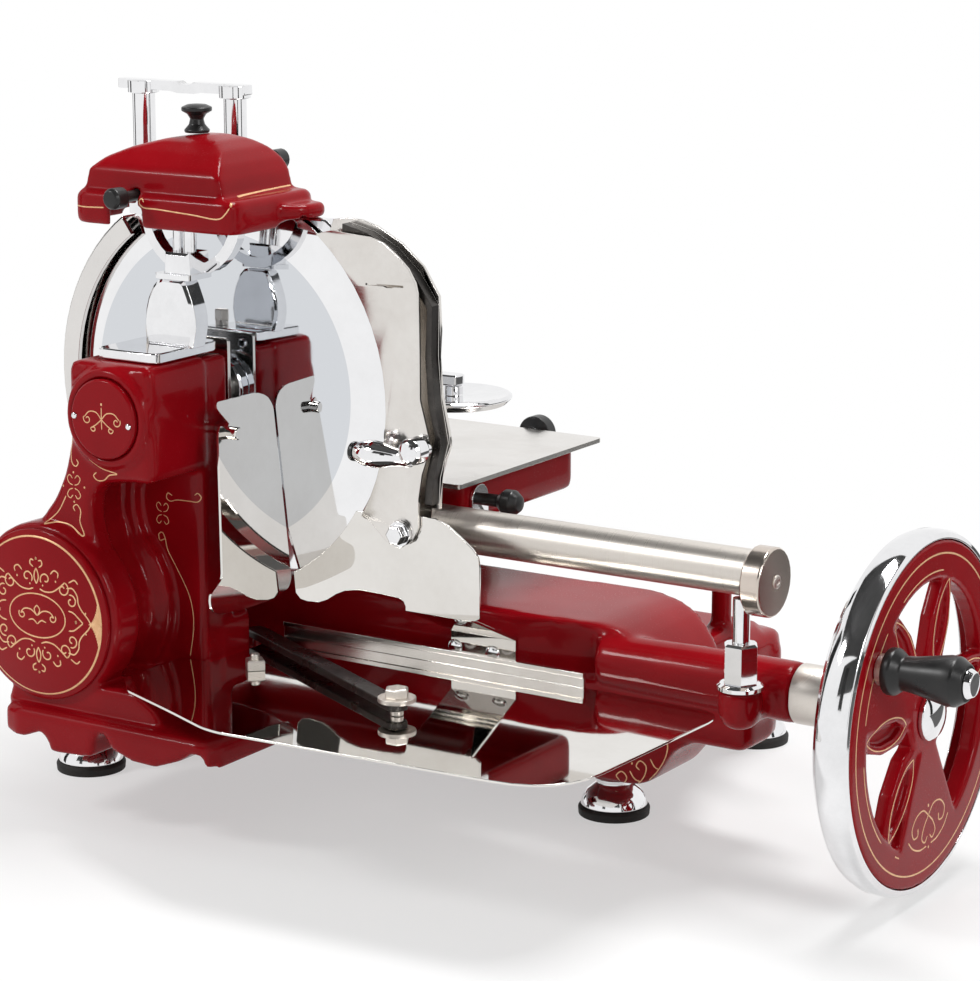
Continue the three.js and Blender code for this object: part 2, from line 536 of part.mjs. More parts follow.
const PRESS = [97, 115, -13];
function clampArm() {
  const [a, b] = POST_X;
  const slider = plate(roundedOutline([[a - 12.6, POST_Y - 12], [b + 14, POST_Y - 12], [b + 14, POST_Y + 12],
    [a - 12.6, POST_Y + 12]], 6), 'z', -8, 10, 1.2);
  const arm = plate(roundedOutline([[b + 4, POST_Y - 5], [60, PRESS[1] - 8], [PRESS[0] + 6, PRESS[1] - 6],
    [PRESS[0] + 6, PRESS[1] + 6], [56, PRESS[1] + 4], [b + 4, POST_Y + 8]],
    [0, 6, 4, 4, 6, 0]), 'z', -8, -1, 1);
  const body = join(slider, arm);
  return cut(body, ...POST_X.map((x) => rod(7.9, -20, 20, 'z', [x, POST_Y, 0], 18)));
}
add('clamp_arm', clampArm(), CHROME);
add('clamp_lock_knob', turned([[0, POST_Y - 12.3], [3.4, POST_Y - 12.3], [3.4, POST_Y - 20],
  [9, POST_Y - 22], [9.5, POST_Y - 30], [8, POST_Y - 32.2], [0, POST_Y - 32.6]],
  'y', [(POST_X[0] + POST_X[1]) / 2, 0, 1], 14), BLACK);
add('press_plate', turned([[0, -20], [34, -20], [38, -16], [38, -14.4], [36, -13.2], [30, -14.5],
  [6, -14.5], [6, -8.4], [0, -8.4]], 'z', [PRESS[0], PRESS[1], 0], 26), CHROME);

// Sharpener: foot plate, post, forked yoke, stones and its lift-off cover

const POST_PLATE_TOP_Z = HEAD_TOP_Z + 7;
add('oiler', join(rod(4.6, POST_PLATE_TOP_Z + JOINT_GAP, POST_PLATE_TOP_Z + 4, 'z', [-26, -38, 0], 14),
  plate(hexagon(9, -26, -38), 'z', POST_PLATE_TOP_Z + 3, POST_PLATE_TOP_Z + 11, 0.7)), STEEL);
add('sharpener_post', join(
  plate(roundedOutline([[-33, -86], [14, -86], [14, -24], [-33, -24]],
    6), 'z', HEAD_TOP_Z + JOINT_GAP, POST_PLATE_TOP_Z, 0.8),
  plate(roundedOutline([[-17, POST_PLATE_TOP_Z - 1], [17, POST_PLATE_TOP_Z - 1], [20.5, 46], [19, 58],
    [12, 75], [-9, 75], [-17, 62], [-20, 46]], [0, 0, 8, 8, 3, 6, 8, 8]), 'y', -56, -40, 2)), CHROME);

const GRINDING = { x: -25, z: 124.5, stoneY: -14, stoneR: 14.5, half: 4 };
const HONING = { x: 20, z: 141, stoneY: 7.8, stoneR: 12, half: 1.8, drop: 25, capY: 29.3 };
const STEM_RADIUS = 3.4;

function yoke() {
  const ring = turned([[31.5, -42], [38.4, -41], [38.4, -34], [31.5, -33],
    [31.5, -42]], 'y', [7, 0, 114.2], 32);
  const lower = clip(ring, block(-60, 60, -70, -20, 60, 117));
  const seat = block(-7, 20, -60, -36, 75.6, 79, 3);
  const hub = plate(roundedOutline([[-1.5, 78], [18.5, 78], [17.5, 92], [-0.5, 92]], 0), 'y', -58, -36, 1.5);
  const spindles = [3.5, 12.6].map((x) => rod(x < 10 ? 3.2 : 4.2, 91, 116, 'z', [x, -49, 0], 12));
  const bridge = block(-31.4, 45.4, -52, -34, 113, 121.4);
  const frontEye = rod(7.6, -49.4, -34, 'y', [GRINDING.x, 0, GRINDING.z], 16);
  const riser = block(HONING.x - 6, HONING.x + 6, -46, -36, 119, 134);
  const over = block(HONING.x - 6, HONING.x + 6, -46, 7.5, 130, 134);
  const rearEye = block(HONING.x - 6, HONING.x + 6, 3, 7.5, 131, HONING.z + 5.5);
  const body = join(lower, seat, hub, ...spindles, bridge, frontEye, riser, over, rearEye);
  return cut(body, rod(STEM_RADIUS + JOINT_GAP, -60, -30, 'y', [GRINDING.x, 0, GRINDING.z], 14),
    rod(STEM_RADIUS + JOINT_GAP, 0, 12, 'y', [HONING.x, 0, HONING.z], 14));
}
add('sharpener_yoke', yoke(), CHROME);

function stone({ x, stoneY, stoneR, half }, z) {
  return turned([[3, -half], [stoneR, -half], [stoneR, half], [3, half],
    [3, -half]], 'y', [x, stoneY, z], 20);
}
add('grinding_stone', stone(GRINDING, GRINDING.z), STONE);
add('honing_stone', stone(HONING, HONING.z - HONING.drop), STONE);

// domed push button on a stem that carries a stone towards the blade edge
const BUTTON_CAP = [[0, -9], [5, -8.6], [6.6, -6.5], [6.6, 2.5], [0, 2.5]];
function grindingButton() {
  const cap = turned(BUTTON_CAP, 'y', [0, 0, 0], 16);
  const stem = rod(STEM_RADIUS, 0, 46, 'y', [0, 0, 0], 14);
  const pin = rod(2.7, 44, 60, 'y', [0, 0, 0], 12);
  const button = join(cap, stem, pin);
  button.translate(GRINDING.x, -70, GRINDING.z);
  return button;
}
function honingButton() {
  const low = HONING.z - HONING.drop;
  const cap = turned(BUTTON_CAP.map(([r, h]) => [r, -h]), 'y', [HONING.x, HONING.capY, HONING.z], 16);
  const stem = rod(STEM_RADIUS, 2, HONING.capY, 'y', [HONING.x, 0, HONING.z], 14);
  const link = plate(roundedOutline([[HONING.x - 5, low - 5], [HONING.x + 5, low - 5],
    [HONING.x + 5, HONING.z + 3], [HONING.x - 5, HONING.z + 3]], 3), 'y', 11.2, 13.2);
  const pin = rod(2.7, 6.4, 12.4, 'y', [HONING.x, 0, low], 12);
  return join(cap, stem, link, pin);
}
add('grinding_button', grindingButton(), BLACK);
add('honing_button', honingButton(), BLACK);

// dome with hipped ends: a side profile crossed with an end profile
function hippedDome(side, end) {
  const sideX = side.map(([x]) => x);
  const endY = end.map(([y]) => y);
  return clip(plate(outline(side), 'y', Math.min(...endY), Math.max(...endY)),
    plate(outline(end), 'x', Math.min(...sideX), Math.max(...sideX)));
}

function sharpenerCover() {
  const dome = hippedDome(
    [[-66, 112], [-65.5, 128], [-62.5, 139], [-55, 146], [-42, 152], [-24, 157], [-6, 159.6], [6, 159.8],
    [17, 157.5], [27, 152.5], [35, 145], [39.5, 137], [44.5, 112]],
    [[-54, 112], [-54, 138], [-50, 143], [-40, 150], [-27, 156.5], [-12, 160.3], [0, 159.5], [9, 155.5],
    [16, 149], [19.5, 142], [20, 112]]);
  const domeInside = hippedDome(
    [[-62, 108], [-61.5, 127], [-58.5, 136.5], [-52, 142], [-40, 147.8], [-23, 153], [-6, 155.6],
    [5, 155.8], [15, 153.8], [24, 149.5], [31, 143], [35.5, 135.5], [40, 108]],
    [[-50, 108], [-50, 136.5], [-46.5, 140.5], [-38, 146.5], [-26, 152.5], [-12, 156.3], [-1, 155.5],
    [6.5, 152.4], [12.5, 147], [15.7, 141], [16, 108]]);
  const flange = plate(roundedOutline([[-72, -59], [54, -59], [54, 26], [-72, 26]],
    [9, 9, 8, 9]), 'z', COVER_BOTTOM_Z, 126, 3);
  const nose = plate(roundedOutline([[40, -30], [69, -2], [69, 18], [44, 24]],
    [0, 6, 6, 0]), 'z', COVER_BOTTOM_Z + 6, 119.5, 2);
  const inside = plate(roundedOutline([[-68, -55], [50, -55], [50, 22],
    [-68, 22]], 6), 'z', COVER_BOTTOM_Z - 10, 122);
  const noseInside = block(46, 66, -4, 15, COVER_BOTTOM_Z - 4, 116);
  const notch = join(block(-43, -18, -70, -49, COVER_BOTTOM_Z - 5, 118), block(GRINDING.x - 4,
    GRINDING.x + 4, -70, -48,
    COVER_BOTTOM_Z - 5, GRINDING.z), rod(4, -70, -48, 'y', [GRINDING.x, 0, GRINDING.z], 14));
  const bladeSlots = block(-80, 60, -12, 14, COVER_BOTTOM_Z - 5, 108);
  const stemSlot = join(block(HONING.x - 4, HONING.x + 4, 10, 30, COVER_BOTTOM_Z - 5, HONING.z),
    rod(4, 10, 30, 'y', [HONING.x, 0, HONING.z], 14));
  return cut(join(dome, flange, nose), inside, domeInside, noseInside, notch, bladeSlots, stemSlot);
}
add('sharpener_cover', sharpenerCover(), RED);
add('cover_knob', turned([[0, 159.95], [7.6, 159.95], [8, 161.6], [5, 165], [4.2, 168.4], [6, 171.4],
  [9.5, 173.4], [9.5, 175.6], [6, 177.2], [0, 177.8]], 'z', [-10.5, -10, 0], 16), BLACK);

add('sharpener_stay', join(
  plate(roundedOutline([[52, 99], [76, 99], [84, 104], [76, 110], [52, 110]], 0), 'y', 4, 14.5, 1),
  plate(roundedOutline([[66, 96], [84, 96], [84, 103], [66, 103]], 0), 'y', 4.5, 14, 0.8),
), CHROME);

// Flywheel: red disc with leaf spokes and a heavy sector, chromed rim, hub and grip

const HUB_X0 = WHEEL_FACE_X - 26;
function polar(radius, degrees) {
  const t = (degrees * Math.PI) / 180;
  return [SHAFT_Y + radius * Math.cos(t), SHAFT_Z + radius * Math.sin(t)];
}

const GRIP = polar(CRANK_RADIUS, CRANK_ANGLE);

function leaf(angle, inner, outer, halfWidth) {
  // pointed leaf lying along one spoke direction
  const shape = new THREE.Shape();
  const at = (radius, side) => {
    const [y, z] = polar(radius, angle);
    const t = (angle * Math.PI) / 180;
    return [y - side * Math.sin(t), z + side * Math.cos(t)];
  };
  const middle = (inner + outer) / 2;
  shape.moveTo(...at(inner, 0));
  shape.bezierCurveTo(...at(inner + 6, halfWidth * 0.9), ...at(middle - 8, halfWidth * 1.15),
    ...at(middle + 4, halfWidth));
  shape.bezierCurveTo(...at(middle + 16, halfWidth * 0.85), ...at(outer - 8, halfWidth * 0.45),
    ...at(outer, 0));
  shape.bezierCurveTo(...at(outer - 8, -halfWidth * 0.45), ...at(middle + 16, -halfWidth * 0.85),
    ...at(middle + 4, -halfWidth));
  shape.bezierCurveTo(...at(middle - 8, -halfWidth * 1.15), ...at(inner + 6, -halfWidth * 0.9),
    ...at(inner, 0));
  return shape;
}

function sectorPlate(fromDegrees, toDegrees) {
  const points = [polar(10, fromDegrees - 8)];
  for (let i = 0; i <= 6; i++)
    points.push(polar(DISC_RADIUS - 12.2, fromDegrees + ((toDegrees - fromDegrees) * i) / 6));
  points.push(polar(10, toDegrees + 8));
  return plate(outline(points), 'x', WHEEL_FACE_X - 12, WHEEL_FACE_X, 1.5);
}

const SPOKE_ANGLES = [10, 72, 125, 178, 234];
function wheelDisc() {
  const x1 = WHEEL_FACE_X;
  const inner = DISC_RADIUS - 23.2;
  const ring = turned([[inner, x1 - 12], [DISC_RADIUS, x1 - 12], [DISC_RADIUS, x1], [inner + 2, x1],
    [inner, x1 - 2], [inner, x1 - 12]], 'x', [0, SHAFT_Y, SHAFT_Z], 48);
  const hub = turned([[0, HUB_X0], [18, HUB_X0], [20, x1 - 12], [24, x1 - 10], [24, x1 - 1], [22, x1],
    [0, x1]], 'x', [0, SHAFT_Y, SHAFT_Z], 22);
  const leaves = SPOKE_ANGLES.map((a) => plate(leaf(a, 14, DISC_RADIUS - 12.2, 12), 'x', x1 - 11, x1 - 1,
    1.5, 1, 2));
  const body = join(ring, hub, sectorPlate(246, 302), sectorPlate(128, 175), ...leaves);
  const grooves = SPOKE_ANGLES.map((a) => plate(leaf(a, 32, DISC_RADIUS - 26.2, 5.6), 'x', x1 - 5, x1 + 5,
    0, 1, 2));
  const bore = rod(9, HUB_X0 - 5, x1 - 4, 'x', [0, SHAFT_Y, SHAFT_Z], 20);
  const pinHole = rod(4.3, x1 - 20, x1 + 5, 'x', [0, ...GRIP], 14);
  return cut(body, ...grooves, bore, pinHole);
}
add('flywheel', wheelDisc(), RED);
const RIM_INNER = DISC_RADIUS + JOINT_GAP;
add('flywheel_rim', turned([[RIM_INNER, WHEEL_FACE_X], [WHEEL_RADIUS - 1.5, WHEEL_FACE_X - 1],
  [WHEEL_RADIUS, WHEEL_FACE_X - 5], [WHEEL_RADIUS, WHEEL_FACE_X - 14],
  [WHEEL_RADIUS - 2.5, WHEEL_FACE_X - 20], [RIM_INNER - 4.5, WHEEL_FACE_X - 25],
  [RIM_INNER - 8.5, WHEEL_FACE_X - 23], [RIM_INNER, WHEEL_FACE_X - 15],
  [RIM_INNER, WHEEL_FACE_X]], 'x', [0, SHAFT_Y, SHAFT_Z], 48), CHROME);
add('hub_cap', turned([[0, WHEEL_FACE_X + JOINT_GAP], [15, WHEEL_FACE_X + JOINT_GAP],
  [15, WHEEL_FACE_X + 3], [12, WHEEL_FACE_X + 6], [6, WHEEL_FACE_X + 7.6],
  [0, WHEEL_FACE_X + 8]], 'x', [0, SHAFT_Y, SHAFT_Z], 22), CHROME);
add('main_shaft', rod(8.7, HOUSING_END_X - 79, WHEEL_FACE_X - 4.3, 'x', [0, SHAFT_Y, SHAFT_Z], 18), STEEL);
add('shaft_collar', turned([[12, HOUSING_END_X - 12], [12, HOUSING_END_X + 0.3],
  [HOUSING_RADIUS - 0.4, HOUSING_END_X + 0.3], [HOUSING_RADIUS - 0.4, HOUSING_END_X + 20],
  [HOUSING_RADIUS - 1, HOUSING_END_X + 21.5], [9, HOUSING_END_X + 21.5],
  [9, HOUSING_END_X - 12], [12, HOUSING_END_X - 12]], 'x', [0, SHAFT_Y, SHAFT_Z], 22), SATIN);

add('crank_pin', join(
  rod(4, WHEEL_FACE_X - 11, WHEEL_FACE_X + 53.4, 'x', [0, ...GRIP], 14),
  turned([[0, WHEEL_FACE_X + JOINT_GAP], [9, WHEEL_FACE_X + JOINT_GAP], [9, WHEEL_FACE_X + 4.6],
    [0, WHEEL_FACE_X + 4.6]], 'x', [0, ...GRIP], 18),
), STEEL);
const gripProfile = [[4.3, 5], [12.8, 5.4], [13.5, 7], [13.5, 10.5], [9.8, 15.5], [10.4, 22], [14.3, 42],
  [14.2, 47.5], [10.5, 53.4], [4.3, 53.4], [4.3, 5]];
add('crank_grip', turned(gripProfile.map(([r, h]) => [r, WHEEL_FACE_X + h]), 'x', [0, ...GRIP], 18), BLACK);
add('grip_end_cap', turned([[0, 53.7], [8.8, 53.7], [7, 57.4],
  [0, 58.8]].map(([r, h]) => [r, WHEEL_FACE_X + h]), 'x', [0, ...GRIP], 16), CHROME);

// Stand the whole machine on z = 0 with its footprint centred
const bounds = new THREE.Box3().setFromObject(group);
const shift = new THREE.Vector3(-(bounds.min.x + bounds.max.x) / 2, -(bounds.min.y + bounds.max.y) / 2,
  -bounds.min.z);
for (const mesh of group.children) mesh.geometry.translate(shift.x, shift.y, shift.z);

export default group;
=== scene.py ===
import json
import math

import bmesh
import bpy
from mathutils import Matrix, Vector
from mathutils.bvhtree import BVHTree

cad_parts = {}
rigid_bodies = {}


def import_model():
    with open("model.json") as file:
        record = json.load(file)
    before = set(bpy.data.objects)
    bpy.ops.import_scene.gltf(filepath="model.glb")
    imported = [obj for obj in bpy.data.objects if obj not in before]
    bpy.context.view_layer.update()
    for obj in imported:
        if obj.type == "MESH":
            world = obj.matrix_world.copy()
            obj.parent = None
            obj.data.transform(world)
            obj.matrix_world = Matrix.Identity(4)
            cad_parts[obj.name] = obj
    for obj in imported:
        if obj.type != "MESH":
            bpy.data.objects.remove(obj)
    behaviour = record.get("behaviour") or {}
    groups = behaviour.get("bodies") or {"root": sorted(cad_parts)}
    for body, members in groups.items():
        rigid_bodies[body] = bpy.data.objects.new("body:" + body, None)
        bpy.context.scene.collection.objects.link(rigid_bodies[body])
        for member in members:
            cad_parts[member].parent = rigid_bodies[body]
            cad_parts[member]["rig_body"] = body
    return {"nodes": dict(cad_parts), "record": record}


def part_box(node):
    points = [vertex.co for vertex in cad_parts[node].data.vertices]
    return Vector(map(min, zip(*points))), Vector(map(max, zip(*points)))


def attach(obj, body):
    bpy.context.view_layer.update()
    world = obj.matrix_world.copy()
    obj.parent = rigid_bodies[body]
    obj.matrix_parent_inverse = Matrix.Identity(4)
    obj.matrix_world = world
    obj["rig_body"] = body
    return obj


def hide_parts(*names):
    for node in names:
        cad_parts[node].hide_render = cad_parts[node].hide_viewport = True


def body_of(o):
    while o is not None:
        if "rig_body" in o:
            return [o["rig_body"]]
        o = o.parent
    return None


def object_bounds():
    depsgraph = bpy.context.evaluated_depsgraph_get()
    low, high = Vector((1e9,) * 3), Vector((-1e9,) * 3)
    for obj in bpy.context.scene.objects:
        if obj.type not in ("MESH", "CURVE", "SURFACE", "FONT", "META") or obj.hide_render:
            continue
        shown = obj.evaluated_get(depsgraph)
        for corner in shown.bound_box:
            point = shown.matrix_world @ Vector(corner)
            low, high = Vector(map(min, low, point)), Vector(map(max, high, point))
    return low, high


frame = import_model()
CAD_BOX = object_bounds()
NODES = frame["nodes"]

# Machine coordinates are millimetres from the centre of the blade: X runs along the
# flywheel shaft, -Y is the side where slices fall and Z is up. The blade's box reaches
# further forward than back, so the centre lies a little behind the middle of the box.
low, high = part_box("blade")
BOX_TO_CENTRE = Vector((0, 0.00025, 0))
BLADE_CENTRE = (low + high) / 2 + BOX_TO_CENTRE


def at(x, y, z):
    return BLADE_CENTRE + Vector((x, y, z)) / 1000


# Camera, as it stood for the photo. Lengths are in machine millimetres.

PHOTO_WIDTH = 980
FOCAL_PIXELS = 3100
SENSOR_WIDTH = 36
AZIMUTH = math.radians(32.7)
ELEVATION = math.radians(12.7)
DISTANCE = 1958.3
SHIFT_RIGHT = 167.2
SHIFT_DOWN = 66.5
BACK = Vector((math.sin(AZIMUTH) * math.cos(ELEVATION), -math.cos(AZIMUTH) * math.cos(ELEVATION),
               math.sin(ELEVATION)))
RIGHT = Vector((math.cos(AZIMUTH), math.sin(AZIMUTH), 0))
UP = BACK.cross(RIGHT)
EYE = BACK * DISTANCE + RIGHT * SHIFT_RIGHT - UP * SHIFT_DOWN


def make_camera():
    data = bpy.data.cameras.new("photo_camera")
    data.sensor_fit = "HORIZONTAL"
    data.sensor_width = SENSOR_WIDTH
    data.lens = FOCAL_PIXELS / PHOTO_WIDTH * SENSOR_WIDTH
    data.clip_start = 0.05
    data.clip_end = 50
    camera = bpy.data.objects.new("photo_camera", data)
    bpy.context.scene.collection.objects.link(camera)
    turn = Matrix((RIGHT, UP, BACK)).transposed().to_4x4()
    camera.matrix_world = Matrix.Translation(at(*EYE)) @ turn
    bpy.context.scene.camera = camera


make_camera()


# Materials

class Value:
    """A socket in one finish, so that sums on it can be written as sums."""

    def __init__(self, finish, socket):
        self.finish = finish
        self.socket = socket

    def maths(self, operation, *terms, clamp=False):
        return self.finish.node("ShaderNodeMath", {"operation": operation, "use_clamp": clamp},
                                dict(enumerate(terms)))

    def __add__(self, other):
        return self.maths("ADD", self, other)

    def __mul__(self, other):
        return self.maths("MULTIPLY", self, other)

    def held(self):
        """The value kept between 0 and 1."""
        return self.maths("ADD", self, 0.0, clamp=True)


class Finish:
    """One material: its Principled shader and the helpers that feed it."""

    def __init__(self, name, **constants):
        self.material = bpy.data.materials.new(name)
        self.material.use_nodes = True
        self.tree = self.material.node_tree
        self.tree.nodes.clear()
        self.shader = self.tree.nodes.new("ShaderNodeBsdfPrincipled")
        output = self.tree.nodes.new("ShaderNodeOutputMaterial")
        self.tree.links.new(self.shader.outputs[0], output.inputs[0])
        for socket, value in constants.items():
            self.shader.inputs[socket.replace("_", " ")].default_value = value
        self.place = self.node("ShaderNodeTexCoord", {}, {}, "Object")

    def node(self, kind, settings, inputs, output=0):
        """Adds a node with its settings and inputs, and returns one of its outputs."""
        made = self.tree.nodes.new(kind)
        for name, value in settings.items():
            setattr(made, name, value)
        for name, value in inputs.items():
            if isinstance(value, Value):
                self.tree.links.new(value.socket, made.inputs[name])
            else:
                made.inputs[name].default_value = value
        return Value(self, made.outputs[output])

    def feed(self, socket, value):
        self.tree.links.new(value.socket, self.shader.inputs[socket])

    def stretched(self, scale, turn=(0, 0, 0), centre=(0, 0, 0)):
        """Object coordinates with a scale for each axis, about a centre."""
        return self.node("ShaderNodeMapping", {}, {
            "Vector": self.place, "Scale": scale, "Rotation": turn,
            "Location": tuple(-c * s for c, s in zip(centre, scale))})

    def noise(self, scale, detail=3.0, rough=0.5, vector=None):
        return self.node("ShaderNodeTexNoise", {}, {
            "Vector": vector or self.place, "Scale": scale, "Detail": detail, "Roughness": rough})

    def band(self, value, start, end, low_value, high_value):
        """The value read from start..end into low_value..high_value."""
        return self.node("ShaderNodeMapRange", {"clamp": True}, {
            "Value": value, "From Min": start, "From Max": end, "To Min": low_value,
            "To Max": high_value})

    def blend(self, factor, first, second):
        """Two colours mixed by a factor."""
        return self.node("ShaderNodeMix", {"data_type": "RGBA"}, {
            "Factor": factor, 6: (*first, 1), 7: (*second, 1)}, 2)

    def bump(self, height, strength, distance, normal=None):
        inputs = {"Height": height, "Strength": strength, "Distance": distance}
        if normal:
            inputs["Normal"] = normal
        return self.node("ShaderNodeBump", {}, inputs)


def red_enamel():
    """Thick glossy enamel over a filled casting."""
    f = Finish("red_enamel", Coat_Weight=0.17, Coat_Roughness=0.012, Coat_IOR=1.45,
               Specular_IOR_Level=0.07)
    clouds = f.noise(9, 4, 0.6)
    flecks = f.noise(900, 2)
    f.feed("Base Color", f.blend(f.band(clouds, 0.35, 0.7, 0, 1), (0.285, 0.0030, 0.0072),
                                 (0.225, 0.0022, 0.0052)))
    smears = f.noise(30, 5, 0.65)
    f.feed("Roughness", f.band(smears, 0.3, 0.75, 0.16, 0.3) + f.band(flecks, 0.62, 0.75, 0, 0.1))
    sag = f.bump(f.noise(28, 2), 0.25, 0.0006)
    peel = f.bump(f.noise(420, 2), 0.05, 0.0001, sag)
    f.feed("Normal", peel)
    return f.material


def chrome():
    f = Finish("chrome", Metallic=1.0)
    smears = f.noise(45, 5, 0.7)
    f.feed("Base Color", f.blend(f.band(smears, 0.3, 0.7, 0, 1), (0.86, 0.86, 0.87),
                                 (0.78, 0.78, 0.79)))
    f.feed("Roughness", f.band(smears, 0.35, 0.8, 0.035, 0.12))
    scratches = f.noise(900, 2, 0.5, f.stretched((1, 0.08, 1), (0.4, 0.2, 0.7)))
    f.feed("Normal", f.bump(f.band(scratches, 0.55, 0.75, 0, 1), 0.03, 0.00005))
    return f.material


def stainless():
    """Sheet with a fine grain that runs along the machine."""
    f = Finish("stainless", Metallic=1.0)
    grain = f.noise(1, 3, 0.6, f.stretched((14, 4200, 4200)))
    smears = f.noise(22, 5, 0.7)
    f.feed("Base Color", f.blend(f.band(smears, 0.3, 0.72, 0, 1), (0.76, 0.735, 0.705),
                                 (0.68, 0.65, 0.615)))
    f.feed("Roughness", f.band(grain, 0.3, 0.7, 0.13, 0.2) + f.band(smears, 0.5, 0.8, 0, 0.08))
    f.feed("Normal", f.bump(grain, 0.018, 0.00003))
    return f.material


def mirror_steel():
    """Polished sheet that mirrors what stands by it."""
    f = Finish("mirror_steel", Metallic=1.0)
    grain = f.noise(1, 3, 0.6, f.stretched((14, 2400, 2400)))
    smears = f.noise(14, 5, 0.7)
    f.feed("Base Color", f.blend(f.band(smears, 0.3, 0.72, 0, 1), (0.78, 0.76, 0.73),
                                 (0.70, 0.675, 0.64)))
    f.feed("Roughness", f.band(grain, 0.3, 0.7, 0.02, 0.045) + f.band(smears, 0.6, 0.85, 0, 0.07))
    f.feed("Normal", f.bump(grain, 0.008, 0.00002))
    return f.material


def ground_steel(name, centre, along, colour, rough, strength, painted_shade=None):
    """Steel finished in a lathe: the tool marks are rings about one axis.

    The last argument, if given, holds a radius and a colour: within that radius the steel is
    painted that colour, as painted shade.
    """
    f = Finish(name, Metallic=1.0)
    across, output = {"x": ((0, 1, 1), 0), "y": ((1, 0, 1), 1)}[along]
    radius = f.node("ShaderNodeVectorMath", {"operation": "LENGTH"},
                    {0: f.stretched(across, (0, 0, 0), centre)}, "Value")
    depth = f.node("ShaderNodeSeparateXYZ", {}, {"Vector": f.place}, output)
    rings = f.node("ShaderNodeTexNoise", {"noise_dimensions": "1D"}, {
        "W": radius + depth, "Scale": 2600, "Detail": 3.0, "Roughness": 0.6})
    smears = f.noise(25, 5, 0.7)
    darker = tuple(c * 0.93 for c in colour)
    tone = f.blend(f.band(smears, 0.3, 0.72, 0, 1), colour, darker)
    # Painted shade: a darker colour within the given radius.
    if painted_shade:
        within, shade = painted_shade
        tone = f.node("ShaderNodeMix", {"data_type": "RGBA"}, {
            "Factor": f.band(radius, within - 0.0004, within, 0, 1), 6: (*shade, 1), 7: tone}, 2)
    f.feed("Base Color", tone)
    f.feed("Roughness", f.band(rings, 0.3, 0.7, rough * 0.8, rough * 1.25)
           + f.band(smears, 0.55, 0.8, 0, 0.06))
    f.feed("Normal", f.bump(rings, strength, 0.00004))
    return f.material


def dark_steel():
    f = Finish("dark_steel", Metallic=0.9)
    patches = f.noise(60, 5, 0.7)
    f.feed("Base Color", f.blend(f.band(patches, 0.3, 0.7, 0, 1), (0.085, 0.078, 0.072),
                                 (0.045, 0.042, 0.04)))
    f.feed("Roughness", f.band(patches, 0.3, 0.75, 0.22, 0.42))
    f.feed("Normal", f.bump(f.noise(700, 3), 0.08, 0.00008))
    return f.material


def black_plastic():
    f = Finish("black_plastic", Specular_IOR_Level=0.4)
    rubs = f.noise(70, 4, 0.6)
    f.feed("Base Color", f.blend(f.band(rubs, 0.3, 0.75, 0, 1), (0.008, 0.008, 0.0085),
                                 (0.018, 0.0175, 0.017)))
    f.feed("Roughness", f.band(rubs, 0.3, 0.75, 0.26, 0.42))
    f.feed("Normal", f.bump(f.noise(1600, 2), 0.05, 0.00005))
    return f.material


def rubber():
    f = Finish("rubber", Specular_IOR_Level=0.35)
    dust = f.noise(160, 5, 0.7)
    f.feed("Base Color", f.blend(f.band(dust, 0.4, 0.8, 0, 1), (0.013, 0.0125, 0.012),
                                 (0.045, 0.042, 0.038)))
    f.feed("Roughness", f.band(dust, 0.3, 0.8, 0.55, 0.85))
    f.feed("Normal", f.bump(f.noise(1100, 3), 0.25, 0.0001))
    return f.material


def stone():
    f = Finish("stone", Specular_IOR_Level=0.2)
    grit = f.noise(1500, 4, 0.8)
    f.feed("Base Color", f.blend(f.band(grit, 0.35, 0.65, 0, 1), (0.19, 0.165, 0.14),
                                 (0.36, 0.33, 0.29)))
    f.feed("Roughness", f.band(grit, 0.3, 0.7, 0.8, 0.97))
    f.feed("Normal", f.bump(grit, 0.6, 0.0002))
    return f.material


def gold_paint():
    """Hand drawn lining: thin in places, so the red warms it."""
    f = Finish("gold_paint", Metallic=0.25, Specular_IOR_Level=0.5)
    strokes = f.noise(260, 4, 0.7)
    f.feed("Base Color", f.blend(f.band(strokes, 0.35, 0.8, 0, 1), (0.87, 0.54, 0.29),
                                 (0.70, 0.37, 0.17)))
    f.feed("Roughness", f.band(strokes, 0.3, 0.7, 0.3, 0.48))
    f.feed("Normal", f.bump(strokes, 0.15, 0.00005))
    return f.material


TUBE_CENTRE = tuple(at(0, 25, -77.8))
HEAD_CENTRE = tuple(at(0, 0, 0))
FINISHES = {
    "red_enamel": red_enamel(),
    "stainless": stainless(),
    "satin_steel": ground_steel("satin_steel", TUBE_CENTRE, "x", (0.69, 0.645, 0.595), 0.34,
                                0.045),
    "chrome": chrome(),
    "dark_steel": dark_steel(),
    "black_plastic": black_plastic(),
    "rubber": rubber(),
    "stone": stone(),
}
# Painted shade: inside this radius the blade's flat face is painted a darker bluish grey, for the
# duller light it catches inside the ground bevel.
SHADED_DISC_RADIUS = 0.0991
BLADE_STEEL = ground_steel("blade_steel", HEAD_CENTRE, "y", (0.88, 0.88, 0.89), 0.035, 0.012,
                           (SHADED_DISC_RADIUS, (0.66, 0.68, 0.71)))
GUARD_STEEL = ground_steel("guard_steel", HEAD_CENTRE, "y", (0.74, 0.72, 0.70), 0.14, 0.03)
CAP_STEEL = ground_steel("cap_steel", TUBE_CENTRE, "x", (0.68, 0.60, 0.535), 0.2, 0.05)
MIRROR_STEEL = mirror_steel()
GOLD = gold_paint()
SLOT_OF = {part["node"]: part["material_slot"] for part in frame["record"]["subparts"]}


# Mesh tools. Small lengths here are in metres.

SAME_PLACE = 2e-6
EDGE_ANGLE = math.radians(32)
FLAT_ANGLE = math.radians(0.6)
STRAIGHT_SINE = 0.004
SHARP_TURN = 0.45
CORNER_WIDTH = 0.0003
CORNER_STEPS = 3
MOST_OF_EDGE = 0.4
LEAD = 1.15


def welded(node):
    """A CAD node's mesh with its loose triangles joined."""
    mesh = bmesh.new()
    mesh.from_mesh(NODES[node].data)
    bmesh.ops.remove_doubles(mesh, verts=mesh.verts, dist=SAME_PLACE)
    return mesh


